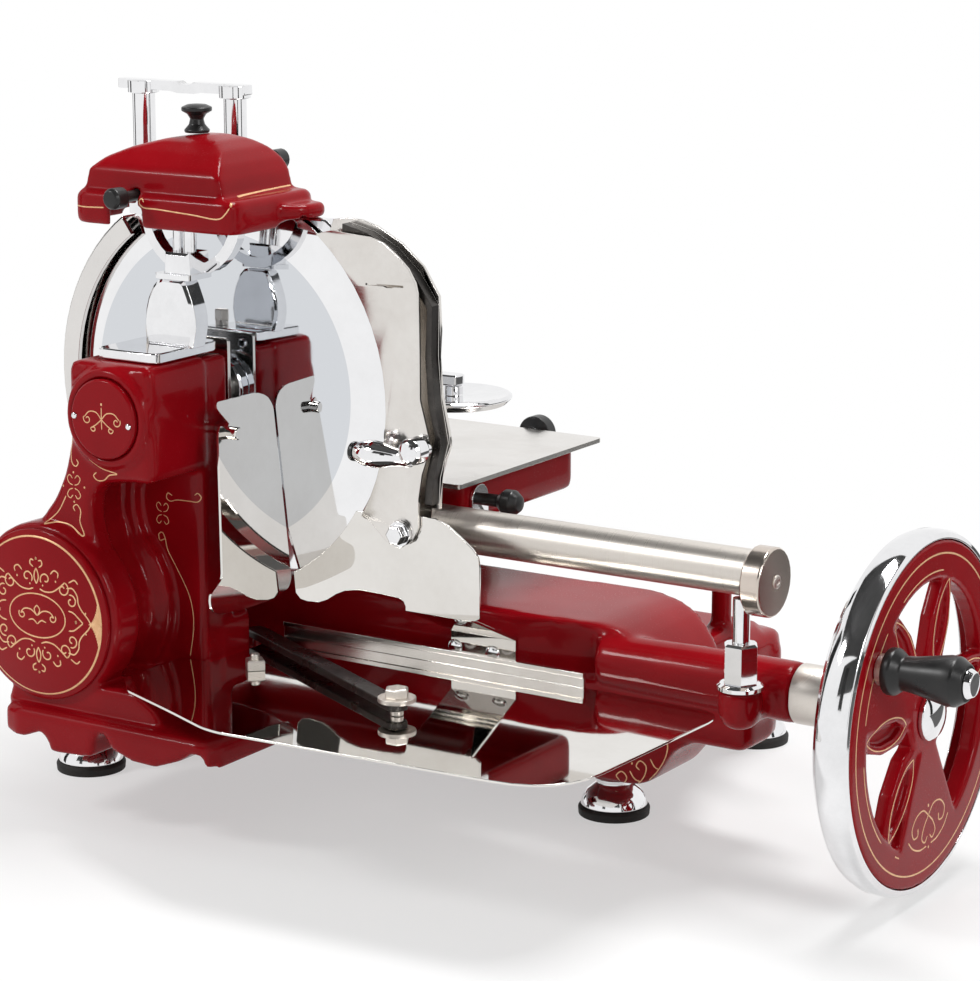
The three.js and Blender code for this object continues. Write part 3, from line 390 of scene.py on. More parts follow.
def new_object(name, mesh):
    """A scene object from a bmesh or a mesh."""
    if isinstance(mesh, bmesh.types.BMesh):
        data = bpy.data.meshes.new(name)
        mesh.to_mesh(data)
        mesh.free()
    else:
        data = mesh
    made = bpy.data.objects.new(name, data)
    bpy.context.scene.collection.objects.link(made)
    return made


def smooth_all(made):
    for face in made.data.polygons:
        face.use_smooth = True
    return made


def with_modifiers(made, *modifiers):
    """Adds the modifiers and turns the result into a plain mesh."""
    for kind, settings in modifiers:
        modifier = made.modifiers.new(kind.lower(), kind)
        for name, value in settings.items():
            setattr(modifier, name, value)
    graph = bpy.context.evaluated_depsgraph_get()
    data = bpy.data.meshes.new_from_object(made.evaluated_get(graph), depsgraph=graph)
    made.modifiers.clear()
    made.data = data
    return made


def settle(made, body, material, replaced=()):
    """Gives a finished piece its material, its body and the nodes it stands for."""
    made.data.materials.clear()
    made.data.materials.append(material)
    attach(made, body)
    if replaced:
        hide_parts(*replaced)
    return made


def stand_for(made, node, material=None):
    slot = SLOT_OF[node]
    return settle(made, body_of(NODES[node])[0], material or FINISHES[slot], [node])


def casting(node, voxel, passes):
    """A cast piece: its corners flow into each other under the enamel."""
    made = new_object(f"{node}_casting", welded(node))
    with_modifiers(made, ("REMESH", {"mode": "VOXEL", "voxel_size": voxel / 1000,
                                     "use_smooth_shade": True}),
                   ("SMOOTH", {"factor": 0.5, "iterations": passes}))
    smooth_all(made)
    return stand_for(made, node)


def break_edges(made, width):
    """Rounds the sharp edges and keeps the flat faces flat to the eye."""
    smooth_all(made)
    with_modifiers(made, ("BEVEL", {"width": width / 1000, "segments": 2, "limit_method": "ANGLE",
                                    "angle_limit": EDGE_ANGLE, "use_clamp_overlap": True}),
                   ("WEIGHTED_NORMAL", {"mode": "FACE_AREA_WITH_ANGLE", "weight": 90,
                                        "thresh": 0.0001}))


def smooth_by_angle(made):
    """Smooth shading except across sharp edges."""
    mesh = bmesh.new()
    mesh.from_mesh(made.data)
    for edge in mesh.edges:
        edge.smooth = len(edge.link_faces) != 2 or edge.calc_face_angle() < EDGE_ANGLE
    for face in mesh.faces:
        face.smooth = True
    mesh.to_mesh(made.data)
    mesh.free()


def eased(node, width, material=None):
    """A cut or pressed piece with its sharp edges broken."""
    mesh = welded(node)
    bmesh.ops.dissolve_limit(mesh, angle_limit=FLAT_ANGLE, verts=mesh.verts, edges=mesh.edges)
    made = new_object(f"{node}_eased", mesh)
    break_edges(made, width)
    return stand_for(made, node, material)


START = {"x": Vector((0, 1, 0)), "y": Vector((0, 0, 1)), "z": Vector((0, -1, 0))}
ALONG = {"x": Vector((1, 0, 0)), "y": Vector((0, 1, 0)), "z": Vector((0, 0, 1))}


def meridians(node, axis):
    """The outline of a turned node on one side of its axis: chains of (radius, height)."""
    mesh = welded(node)
    box_low, box_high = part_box(node)
    centre = (box_low + box_high) / 2
    along = ALONG[axis]
    across = along.cross(START[axis])
    tilt = math.radians(0.02)
    start = START[axis] * math.cos(tilt) + across * math.sin(tilt)
    plane = along.cross(start)
    everything = mesh.verts[:] + mesh.edges[:] + mesh.faces[:]
    cut = bmesh.ops.bisect_plane(mesh, geom=everything, dist=1e-8, plane_co=centre,
                                 plane_no=plane)["geom_cut"]

    def read(v):
        return (v.co - centre).dot(start), (v.co - centre).dot(along)

    edges = [e for e in cut if isinstance(e, bmesh.types.BMEdge)
             and all(read(v)[0] > -SAME_PLACE for v in e.verts)]
    links = {}
    for edge in edges:
        for v in edge.verts:
            links.setdefault(v, []).append(edge)
    chains = []
    left = set(edges)
    while left:
        ends = [v for v, es in links.items() if len([e for e in es if e in left]) == 1]
        # A closed chain has no ends and starts at its outer corner, the same in every run.
        rest = ends[:1] or [v for e in edges if e in left for v in e.verts]
        here = max(rest, key=lambda v: (round(read(v)[0], 6), read(v)[1]))
        chain = [here]
        while True:
            onward = [e for e in links[here] if e in left]
            if not onward:
                break
            left.discard(onward[0])
            here = onward[0].other_vert(here)
            chain.append(here)
        chains.append([read(v) for v in chain])
    mesh.free()
    return centre, [tidy_chain(c) for c in chains if len(c) > 2]


def tidy_chain(chain):
    """A chain without the points that lie on a straight run."""
    kept = [chain[0]]
    for i in range(1, len(chain) - 1):
        a, b, c = (Vector(p) for p in (kept[-1], chain[i], chain[i + 1]))
        if (b - a).length < SAME_PLACE or (c - b).length == 0:
            continue
        if abs((b - a).normalized().cross((c - b).normalized())) > STRAIGHT_SINE:
            kept.append(chain[i])
    kept.append(chain[-1])
    return kept


def broken_corners(points, closed, width):
    """The same outline with a small rounding at each sharp corner."""
    out = []
    count = len(points)
    for i, point in enumerate(points):
        if not closed and i in (0, count - 1):
            out.append(point)
            continue
        a, b, c = (Vector(points[j % count]) for j in (i - 1, i, i + 1))
        u, v = a - b, c - b
        turn = math.pi - u.angle(v) if u.length > 1e-9 and v.length > 1e-9 else 0
        if turn < SHARP_TURN:
            out.append(point)
            continue
        reach = min(width, MOST_OF_EDGE * u.length, MOST_OF_EDGE * v.length)
        first, last = b + u.normalized() * reach, b + v.normalized() * reach
        lead_in = b + u.normalized() * reach * LEAD
        lead_out = b + v.normalized() * reach * LEAD
        out.append(tuple(lead_in))
        for k in range(CORNER_STEPS + 1):
            t = k / CORNER_STEPS
            out.append(tuple(first * (1 - t) ** 2 + b * 2 * t * (1 - t) + last * t * t))
        out.append(tuple(lead_out))
    return out


def revolve(mesh, chain, centre, axis, steps, closed):
    """Adds one revolved outline to a bmesh."""
    along, start = ALONG[axis], START[axis]
    across = along.cross(start)
    rings = []
    for radius, height in chain:
        if radius < SAME_PLACE:
            rings.append([mesh.verts.new(centre + along * height)])
            continue
        rings.append([mesh.verts.new(centre + along * height + radius * (
            start * math.cos(2 * math.pi * k / steps) + across * math.sin(2 * math.pi * k / steps)))
            for k in range(steps)])
    pairs = list(zip(rings, rings[1:])) + ([(rings[-1], rings[0])] if closed else [])
    for first, second in pairs:
        for k in range(steps):
            n = (k + 1) % steps
            if len(first) == 1 and len(second) == 1:
                continue
            if len(first) == 1:
                corner = (first[0], second[k], second[n])
            elif len(second) == 1:
                corner = (first[k], second[0], first[n])
            else:
                corner = (first[k], second[k], second[n], first[n])
            mesh.faces.new(corner)


def turned(node, axis, steps, width, material=None):
    """A turned node again, with fine steps and broken corners."""
    centre, chains = meridians(node, axis)
    mesh = bmesh.new()
    for chain in chains:
        closed = (Vector(chain[0]) - Vector(chain[-1])).length < 5e-6
        points = chain[:-1] if closed else [(0.0, chain[0][1]), *chain[1:-1], (0.0, chain[-1][1])]
        revolve(mesh, broken_corners(points, closed, width / 1000), centre, axis, steps, closed)
    bmesh.ops.recalc_face_normals(mesh, faces=mesh.faces)
    made = smooth_all(new_object(f"{node}_turned", mesh))
    return stand_for(made, node, material)


# Castings, with their voxel size in millimetres and their smoothing passes

BASE = casting("base_casting", 2.4, 10)
COLUMN = casting("column_casting", 1.8, 9)
casting("carriage", 2.0, 6)
COVER = casting("sharpener_cover", 1.3, 24)
WHEEL = casting("flywheel", 1.1, 8)

# Turned pieces, with their axis, steps round it and corner width in millimetres

for corner in ("front_left", "front_right", "rear_right", "rear_left"):
    turned(f"foot_{corner}", "z", 72, 0.6)
    turned(f"foot_pad_{corner}", "z", 72, 0.6)
HUB_COVER = turned("hub_cover", "y", 96, 0.4)
DRUM_COVER = turned("drum_cover", "y", 128, 0.8)
turned("blade", "y", 192, 0.15, BLADE_STEEL)
turned("blade_clamp_ring", "y", 96, 0.4, BLADE_STEEL)
for node, axis, steps, width in (
        ("blade_shaft", "y", 72, 0.4), ("slide_tube", "x", 96, 0.5),
        ("carriage_roller", "y", 72, 0.4), ("clamp_post_left", "z", 64, 0.4),
        ("clamp_post_right", "z", 64, 0.4), ("press_plate", "z", 96, 0.8),
        ("clamp_lock_knob", "y", 64, 0.6), ("table_lock_knob", "y", 64, 0.6),
        ("feed_knob", "x", 64, 0.6), ("cover_knob", "z", 72, 0.5),
        ("grinding_button", "y", 64, 0.6), ("grinding_stone", "y", 64, 0.6),
        ("honing_stone", "y", 64, 0.5), ("flywheel_rim", "x", 192, 0.8),
        ("main_shaft", "x", 64, 0.4), ("shaft_collar", "x", 72, 0.5),
        ("crank_pin", "x", 48, 0.4), ("crank_grip", "x", 96, 0.8),
        ("grip_end_cap", "x", 64, 0.6)):
    turned(node, axis, steps, width)

# Cut, pressed and fitted pieces, with their edge width in millimetres

eased("meat_table", 0.3)
eased("blade_guard_ring", 0.3, GUARD_STEEL)
eased("slice_deflector", 0.3, MIRROR_STEEL)
TRAY = eased("receiving_tray", 0.35, MIRROR_STEEL)
eased("gauge_bracket", 0.25, MIRROR_STEEL)
GAUGE_PLATE = eased("gauge_front_plate", 0.25)
BACK_PLATE = eased("gauge_back_plate", 0.3)
eased("tube_end_cap", 0.4, CAP_STEEL)
for node in ("gauge_lock_bolt", "tray_arm", "tray_bolt", "rail_pillar", "rear_rail", "oiler",
             "sharpener_post", "sharpener_yoke", "sharpener_stay", "hub_cap", "clamp_arm",
             "honing_button"):
    eased(node, 0.4)


# Fittings that the solids leave out. A shape with few steps has flats, as a nut has.

MOST_FLATS = 8


def on_machine(outline_points, height):
    """Flat outline points (along, up) in machine millimetres as points at one Y."""
    return [at(x, height, z) for x, z in outline_points]


def arc(radius, first, last, count, centre=(0, 0)):
    return [(centre[0] + radius * math.cos(math.radians(first + (last - first) * k / count)),
             centre[1] + radius * math.sin(math.radians(first + (last - first) * k / count)))
            for k in range(count + 1)]


def add_slab(mesh, front, back):
    """A closed slab between two matching outlines."""
    near = [mesh.verts.new(p) for p in front]
    far = [mesh.verts.new(p) for p in back]
    mesh.faces.new(near)
    mesh.faces.new(list(reversed(far)))
    for k in range(len(near)):
        n = (k + 1) % len(near)
        mesh.faces.new((near[k], far[k], far[n], near[n]))


def finish_slabs(name, mesh, width=0.3):
    bmesh.ops.recalc_face_normals(mesh, faces=mesh.faces)
    made = new_object(name, mesh)
    break_edges(made, width)
    return made


def fitting(name, shapes, body, slot):
    """Small turned parts in one piece, from shapes as turned_shapes has them."""
    made = smooth_all(new_object(name, turned_shapes(shapes)))
    if any(steps <= MOST_FLATS for *_, steps in shapes):
        break_edges(made, 0.3)
    return settle(made, body, FINISHES[slot])


def repeat_tree():
    """Geometry Nodes tree that sets one piece down at each vertex of another object."""
    tree = bpy.data.node_groups.new("piece_at_places", "GeometryNodeTree")
    for name, kind in (("Piece", "NodeSocketGeometry"), ("Places", "NodeSocketObject"),
                       ("Size", "NodeSocketFloat"), ("Finish", "NodeSocketMaterial")):
        tree.interface.new_socket(name, in_out="INPUT", socket_type=kind)
    tree.interface.new_socket("Pieces", in_out="OUTPUT", socket_type="NodeSocketGeometry")
    start = tree.nodes.new("NodeGroupInput")
    places = tree.nodes.new("GeometryNodeObjectInfo")
    spread = tree.nodes.new("GeometryNodeInstanceOnPoints")
    realised = tree.nodes.new("GeometryNodeRealizeInstances")
    finished = tree.nodes.new("GeometryNodeSetMaterial")
    end = tree.nodes.new("NodeGroupOutput")
    for source, output, target, entry in (
            (start, "Places", places, "Object"), (places, "Geometry", spread, "Points"),
            (start, "Piece", spread, "Instance"), (start, "Size", spread, "Scale"),
            (spread, "Instances", realised, "Geometry"),
            (realised, "Geometry", finished, "Geometry"),
            (start, "Finish", finished, "Material"), (finished, "Geometry", end, "Pieces")):
        tree.links.new(source.outputs[output], target.inputs[entry])
    return tree


REPEAT_TREE = repeat_tree()


def screws(name, outline_points, axis, places, body, slot, steps=32):
    """One turned screw head, repeated at places in machine millimetres."""
    data = bpy.data.meshes.new("screw_places")
    data.from_pydata([at(*p) for p in places], [], [])
    marks = new_object("screw_places", data)
    head = bmesh.new()
    chain = broken_corners([(r / 1000, h / 1000) for r, h in outline_points], False, CORNER_WIDTH)
    revolve(head, chain, Vector((0, 0, 0)), axis, steps, False)
    bmesh.ops.recalc_face_normals(head, faces=head.faces)
    made = smooth_all(new_object(name, head))
    modifier = made.modifiers.new("repeat", "NODES")
    modifier.node_group = REPEAT_TREE
    values = {"Places": marks, "Size": 1.0, "Finish": FINISHES[slot]}
    for socket in REPEAT_TREE.interface.items_tree:
        if socket.name in values:
            modifier[socket.identifier] = values[socket.name]
    with_modifiers(made)
    bpy.data.objects.remove(marks)
    return settle(made, body, FINISHES[slot])


def dome(radius, height):
    """Outline of a domed head that faces along its axis, with 1 mm sunk in."""
    return [(0, -1), (radius, -1), (radius, 0)] + [
        (radius * math.cos(math.radians(a)), height * math.sin(math.radians(a)))
        for a in (15, 30, 45, 60, 75)] + [(0, height)]


def flipped(points):
    """The same outline facing the other way along its axis."""
    return [(r, -h) for r, h in points]


def turned_shapes(shapes):
    """Turned parts in one bmesh. Each shape is (outline, axis, centre, steps) in millimetres."""
    mesh = bmesh.new()
    for outline_points, axis, centre, steps in shapes:
        chain = [(r / 1000, h / 1000) for r, h in outline_points]
        if steps > MOST_FLATS:
            chain = broken_corners(chain, False, CORNER_WIDTH)
        revolve(mesh, chain, at(*centre), axis, steps, False)
    bmesh.ops.recalc_face_normals(mesh, faces=mesh.faces)
    return mesh


def make_gauge_lever():
    """Barrel-shaped handle and the domed pivot that it turns on."""
    barrel = [(0, 118), (5.5, 118), (7.1, 121.5), (8.2, 126), (8.6, 131), (8.1, 136), (6.9, 141),
              (5.7, 146), (5.2, 151), (5.2, 158), (0, 158)]
    pivot = [(0, -33), (3.5, -32.7), (6.4, -31.4), (8.1, -29.2), (8.6, -26.6), (8.6, -20.5),
             (7.2, -18), (6, -17), (6, -13.6), (0, -13.6)]
    mesh = turned_shapes([(barrel, "x", (0, -24, -25), 64), (pivot, "y", (160, 0, -20), 64)])
    stand_for(smooth_all(new_object("gauge_lever_turned", mesh)), "gauge_lever")
    end = [(0, 115.2), (4.2, 114.4), (5.5, 114.6), (6, 115.6), (6, 117.8), (0, 117.8)]
    mesh = turned_shapes([(end, "x", (0, -24, -25), 64)])
    stand_for(smooth_all(new_object("gauge_lever_end", mesh)), "gauge_lever_cap")


def make_crossbar():
    """Flat bar across the clamp posts, notched in the middle, with a boss round each post's top."""
    low_corner, high_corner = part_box("clamp_crossbar")
    top = (high_corner.z - BLADE_CENTRE.z) * 1000 - 1
    posts = [1000 * ((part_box(f"clamp_post_{side}")[0].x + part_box(f"clamp_post_{side}")[1].x) / 2
                     - BLADE_CENTRE.x) for side in ("left", "right")]
    middle = sum(posts) / 2
    start, end = [1000 * (corner.x - BLADE_CENTRE.x) for corner in (low_corner, high_corner)]
    boss = [(0, top - 8.7), (10.5, top - 8.7), (10.5, top - 0.6), (0, top - 0.6)]
    mesh = turned_shapes([(boss, "z", (x, 86, 0), 64) for x in posts])
    ends = new_object("crossbar_bosses", mesh)
    bottom = top - 6.6
    outline_points = [(start, bottom), (middle - 13, bottom), (middle - 7, bottom - 1),
                      (middle + 7, bottom - 1), (middle + 13, bottom), (end, bottom), (end, top),
                      (middle + 7, top), (middle + 4, top - 1.6), (middle - 4, top - 1.6),
                      (middle - 7, top), (start, top)]
    mesh = bmesh.new()
    add_slab(mesh, on_machine(outline_points, 81.5), on_machine(outline_points, 90.5))
    made = finish_slabs("clamp_crossbar_bar", mesh, 0.7)
    joined = bmesh.new()
    joined.from_mesh(made.data)
    joined.from_mesh(ends.data)
    joined.to_mesh(made.data)
    joined.free()
    bpy.data.objects.remove(ends)
    smooth_by_angle(made)
    stand_for(made, "clamp_crossbar")


screws("bracket_screws", flipped(dome(5.2, 2.4)), "y", [(x, 39.7, -158.5) for x in (147, 175)],
       "machine", "chrome")
CUPPED_HEAD = [(0, -1), (4.2, -1), (4.2, 0.5), (3.4, 1.1), (2, 1.1), (1.4, 0.3), (0, 0.3)]
fitting("end_cap_screw", [(CUPPED_HEAD, "x", (379, 27, -81.6), 32)], "machine", "satin_steel")
screws("hub_cover_screws", flipped(dome(2.0, 1.0)), "y", [(-35.6, -105, -5.6), (6.6, -105, -8.2)],
       "machine", "chrome", 24)
NUT_PLACE = (54, -45, -167)
SQUARE_NUT = [(0, 0.2), (7.6, 0.2), (7.6, 6), (6.4, 6.8), (0, 6.8)]
STUD_END = [(0, 6), (3, 6), (3, 9.5), (2.4, 10.2), (0, 10.2)]
fitting("tray_nut", [(SQUARE_NUT, "z", NUT_PLACE, 4), (STUD_END, "z", NUT_PLACE, 24)], "machine",
        "satin_steel")
FLAT_HEAD = [(0, -1), (3, -1), (3, 1.2), (2.4, 1.8), (0, 1.8)]
screws("bearing_plate_screws", FLAT_HEAD, "y",
       [(x, -15.4, z) for x in (-38, 8) for z in (-27, 27)], "machine", "chrome", 24)


def make_bearing_plate():
    """Steel plate on the back of the head, seen in the blade."""
    outline_points = (arc(3, 0, 90, 4, (13.2, 31)) + arc(3, 90, 180, 4, (-41, 31))
                      + arc(3, 180, 270, 4, (-41, -33)) + arc(3, 270, 360, 4, (13.2, -33)))
    mesh = bmesh.new()
    add_slab(mesh, on_machine(outline_points, -17.9), on_machine(outline_points, -15.2))
    settle(finish_slabs("bearing_plate", mesh), "machine", FINISHES["stainless"])


make_bearing_plate()


def make_knob_bracket():
    """Bracket that holds the feed knob to the carriage."""
    tab = [(52, -84), (70, -84), (70, -66)] + arc(9, 0, 180, 12, (61, -66)) + [(52, -66)]
    mesh = bmesh.new()
    add_slab(mesh, [at(150.4, y, z) for y, z in tab], [at(152.6, y, z) for y, z in tab])
    settle(finish_slabs("feed_knob_bracket", mesh), "carriage", FINISHES["chrome"])


make_knob_bracket()


def cut_slot():
    """Slot in the front gauge plate."""
    mesh = bmesh.new()
    slot = [(118, 75.7), (131, 75.9), (133, 75.2), (137, 75.3), (139, 76), (145.5, 76.2),
            (145.5, 77.5), (139, 77.4), (118, 76.9)]
    add_slab(mesh, on_machine(slot, -14), on_machine(slot, -10.5))
    bmesh.ops.recalc_face_normals(mesh, faces=mesh.faces)
    cutter = new_object("slot_cutter", mesh)
    with_modifiers(GAUGE_PLATE, ("BOOLEAN", {"object": cutter, "operation": "DIFFERENCE",
                                             "solver": "EXACT"}))
    bpy.data.objects.remove(cutter)
    smooth_by_angle(GAUGE_PLATE)


make_gauge_lever()
make_crossbar()


def second_finish(made, slot, chosen):
    """Gives the faces whose centres are chosen another finish."""
    made.data.materials.append(FINISHES[slot])
    for face in made.data.polygons:
        if chosen(face.center):
            face.material_index = 1


# The tray's raised lip is brushed, not polished.
TRAY_TOP = at(0, 0, -166.5).z
second_finish(TRAY, "stainless", lambda place: place.z > TRAY_TOP)
# The back plate's inner wall is given dark steel as painted shade, for the shadow that fills the
# narrow gap in front of it.
WALL_FRONT = at(0, -1.6, 0).y
second_finish(BACK_PLATE, "dark_steel", lambda place: place.y < WALL_FRONT)


# Gold lining

def curve_through(points, step=0.8):
    """A smooth line through the points, as evenly spaced points."""
    points = [Vector(p) for p in points]
    ends = [2 * points[0] - points[1], *points, 2 * points[-1] - points[-2]]
    out = []
    for i in range(1, len(ends) - 2):
        a, b, c, d = ends[i - 1:i + 3]
        count = max(2, int((c - b).length / step))
        for k in range(count):
            t = k / count
            out.append(0.5 * ((2 * b) + (c - a) * t + (2 * a - 5 * b + 4 * c - d) * t * t
                              + (3 * b - a - 3 * c + d) * t ** 3))
    out.append(points[-1])
    return out


# A line's section: places across its half width, and heights over the surface in metres
LINE_PLACES = (-1, -0.5, 0, 0.5, 1)
LINE_HEIGHTS = (-0.00006, 0.00006, 0.0001, 0.00006, -0.00006)
LINE_ROOT = 0.0002
THIN_END = 0.45
CAST_FROM = 0.3
LONGEST_STEP = 0.004


class Lining:
    """Raised gold lines, laid on a surface along one direction."""

    def __init__(self, surface, direction, flat):
        mesh = bmesh.new()
        mesh.from_mesh(surface.data)
        self.tree = BVHTree.FromBMesh(mesh)
        mesh.free()
        self.direction = direction.normalized()
        self.flat = flat
        self.mesh = bmesh.new()

    def cast(self, point):
        start = point - self.direction * CAST_FROM
        place, normal, _, _ = self.tree.ray_cast(start, self.direction)
        if place is None:
            return None
        return place, normal if normal.dot(self.direction) < 0 else -normal

    def line(self, points, width=1.0, smooth=True):
        """Lays one line. Points are pairs in the drawing plane, in millimetres.

        It stops where the surface ends or falls away under it, and may start again.
        """
        pairs = [Vector((*p, 0)) for p in points]
        path = curve_through(pairs) if smooth else pairs
        path = [self.flat(p.x, p.y) for p in path]
        rings = []
        for i, here in enumerate(path):
            ahead = (path[min(i + 1, len(path) - 1)] - path[max(i - 1, 0)]).normalized()
            side = ahead.cross(self.direction).normalized() * width / 2000
            at_end = i in (0, len(path) - 1) and (path[0] - path[-1]).length > 1e-5
            thin = THIN_END if at_end else 1
            hits = [self.cast(here + side * k * thin) for k in LINE_PLACES]
            missed = any(h is None for h in hits)
            if missed or max((h[0] - hits[2][0]).length for h in hits) > width / 600:
                self.close(rings)
                rings = []
                continue
            ring = [self.mesh.verts.new(p + n * h) for (p, n), h in zip(hits, LINE_HEIGHTS)]
            ring.append(self.mesh.verts.new(hits[2][0] - hits[2][1] * LINE_ROOT))
            if rings and (ring[2].co - rings[-1][2].co).length > LONGEST_STEP:
                self.close(rings)
                rings = []
            rings.append(ring)
        self.close(rings)

    def close(self, rings):
        """Makes one closed stroke of the rings so far."""
        if len(rings) < 2:
            for ring in rings:
                for v in ring:
                    self.mesh.verts.remove(v)
            return
        for first, second in zip(rings, rings[1:]):
            for k in range(6):
                n = (k + 1) % 6
                self.mesh.faces.new((first[k], first[n], second[n], second[k]))
        self.mesh.faces.new(list(reversed(rings[0])))
        self.mesh.faces.new(rings[-1])

    def dot(self, x, y, radius):
        self.line([(x - radius * 0.6, y), (x, y), (x + radius * 0.6, y)], radius * 2)

    def done(self, name, body):
        bmesh.ops.recalc_face_normals(self.mesh, faces=self.mesh.faces)
        return settle(smooth_all(new_object(name, self.mesh)), body, GOLD)


def scroll(centre, start, end, first, last, count=18):
    """A spiral: radius and angle run from start and first to end and last."""
    points = []
    for k in range(count + 1):
        radius = start + (end - start) * k / count
        angle = math.radians(first + (last - first) * k / count)
        points.append((centre[0] + radius * math.cos(angle), centre[1] + radius * math.sin(angle)))
    return points


def four_ways(points, centre):
    """A line and its mirror images about a centre."""
    cx, cz = centre
    return [[(cx + sx * x, cz + sz * z) for x, z in points] for sx in (1, -1) for sz in (1, -1)]


def two_ways(points, centre):
    """A line and its mirror image to the left of a centre."""
    cx, cz = centre
    return [[(cx + sx * x, cz + z) for x, z in points] for sx in (1, -1)]


# Centres are in machine millimetres, angles in degrees.
TOWARDS_BACK = Vector((0, 1, 0))
TOWARDS_LEFT = Vector((-1, 0, 0))
DRUM = (-64.5, -134.6)
HUB = (-14, -6)
SHAFT = (52.2, -154.1)
SPOKES = (10, 72, 125, 178, 234)
HEAVY_SECTOR = 274


def front_at(y):
    return lambda x, z: at(x, y, z)


def line_drum_cover():
    gold = Lining(DRUM_COVER, TOWARDS_BACK, front_at(-112))
    gold.line(arc(50.4, 0, 360, 160, DRUM), 1.5, False)
    oval = [(22.5 * math.cos(t / 24 * math.pi), 14 * math.sin(t / 24 * math.pi)) for t in range(49)]
    gold.line([(DRUM[0] + x, DRUM[1] + z) for x, z in oval], 1.2)
    # a cusp that grows out of the ring on the right
    cusp_length = 9.3
    for step in range(11):
        inward = step * 0.85
        half = 13 * ((cusp_length - inward) / cusp_length) ** 1.7
        x = DRUM[0] + 49.8 - inward
        bent = x - half * half * 0.0100
        gold.line([(bent, DRUM[1] - half), (x, DRUM[1]), (bent, DRUM[1] + half)], 1.15)
    # scrolls that frame the oval
    for part in (
        [(2.5, 17.5), (7, 16.2), (13, 17), (18.5, 20.5), (23, 24.2)],
        scroll((21.3, 19.6), 4.8, 1.2, 70, -330),
        scroll((27.6, 12.6), 4.4, 1.2, 110, -270),
        [(24.2, 20.6), (29, 21), (32.5, 17), (33.2, 12.5), (35.6, 8.4), (40.5, 3.6), (43, 0)],
        scroll((7.4, 24.2), 4.4, 1.1, 215, -120),
        [(0, 20.4), (1.6, 24), (1.4, 27.5), (0, 30.5)],
        [(25.2, 6.4), (29.2, 5.6), (33.4, 2.6), (36.6, 0)],
        [(2.2, 31), (4.8, 33), (4.2, 35.6), (1.8, 35.2)],
        [(26, 24.4), (30.5, 26.6), (33.4, 24.4)],
        [(11.5, 28), (14.5, 30.6), (17.6, 29.2), (17.2, 26.2)],
    ):
        for line in four_ways(part, DRUM):
            gold.line(line, 1.25)
    for x, z, r in ((31, 0, 1.5), (0, 36.6, 1.3), (38.8, 6.6, 0.9), (15.6, 23.8, 0.9),
                    (5.2, 20, 0.8)):
        for line in four_ways([(x, z)], DRUM):
            gold.dot(*line[0], r)
    # leaf spray inside the oval
    for part in ([(0, 0), (5, 3.4), (10.5, 3.2), (13.6, 0)], scroll((12.2, -0.4), 3, 0.7, 40, -330),
                 [(0, -5.4), (3.4, -2.8), (7.2, -3.6)], [(0, 6.8), (2.2, 4.2), (1.2, 1.4), (0, 0)]):
        for line in two_ways(part, DRUM):
            gold.line(line, 1.15)
    gold.done("drum_cover_lining", "machine")


def line_hub_cover():
    gold = Lining(HUB_COVER, TOWARDS_BACK, front_at(-105.2))
    for part in ([(0, 0), (4, 4), (9.6, 4.2), (13.6, 0.6)],
                 scroll((11.4, -0.6), 3.2, 0.8, 30, -340),
                 [(0, 0), (4.6, -3.6), (8.6, -5.8)],
                 scroll((6.6, -6), 2.2, 0.6, 10, -330)):
        for line in two_ways(part, HUB):
            gold.line(line, 0.95)
    gold.line([(HUB[0], HUB[1] - 6.2), (HUB[0], HUB[1] + 7.4)], 0.9)
    gold.dot(HUB[0], HUB[1] + 9.4, 1.1)
    gold.done("hub_cover_lining", "machine")


def line_sharpener_cover():
    gold = Lining(COVER, TOWARDS_BACK, front_at(-59))
    gold.line([(-70, 115.6), (-60, 115.4), (-46, 116)], 1.1)
    gold.line([(-14.6, 121.4), (-16.6, 123.4), (-18.4, 122.2), (-17.6, 119.6), (-13.6, 118),
               (-4, 117.8), (10, 117), (24, 116.2), (38, 114.9), (44, 115.6), (47.4, 118.6),
               (49.6, 122)], 1.1)
    gold.done("cover_lining_front", "sharpener_cover")
    gold = Lining(COVER, TOWARDS_LEFT, lambda y, z: at(54, y, z))
    gold.line([(-56.5, 122.6), (-54.6, 124.8), (-50, 126), (-40, 126.8), (-20, 127.4), (2, 127.8),
               (16, 127.9)], 1.1)
    gold.done("cover_lining_side", "sharpener_cover")


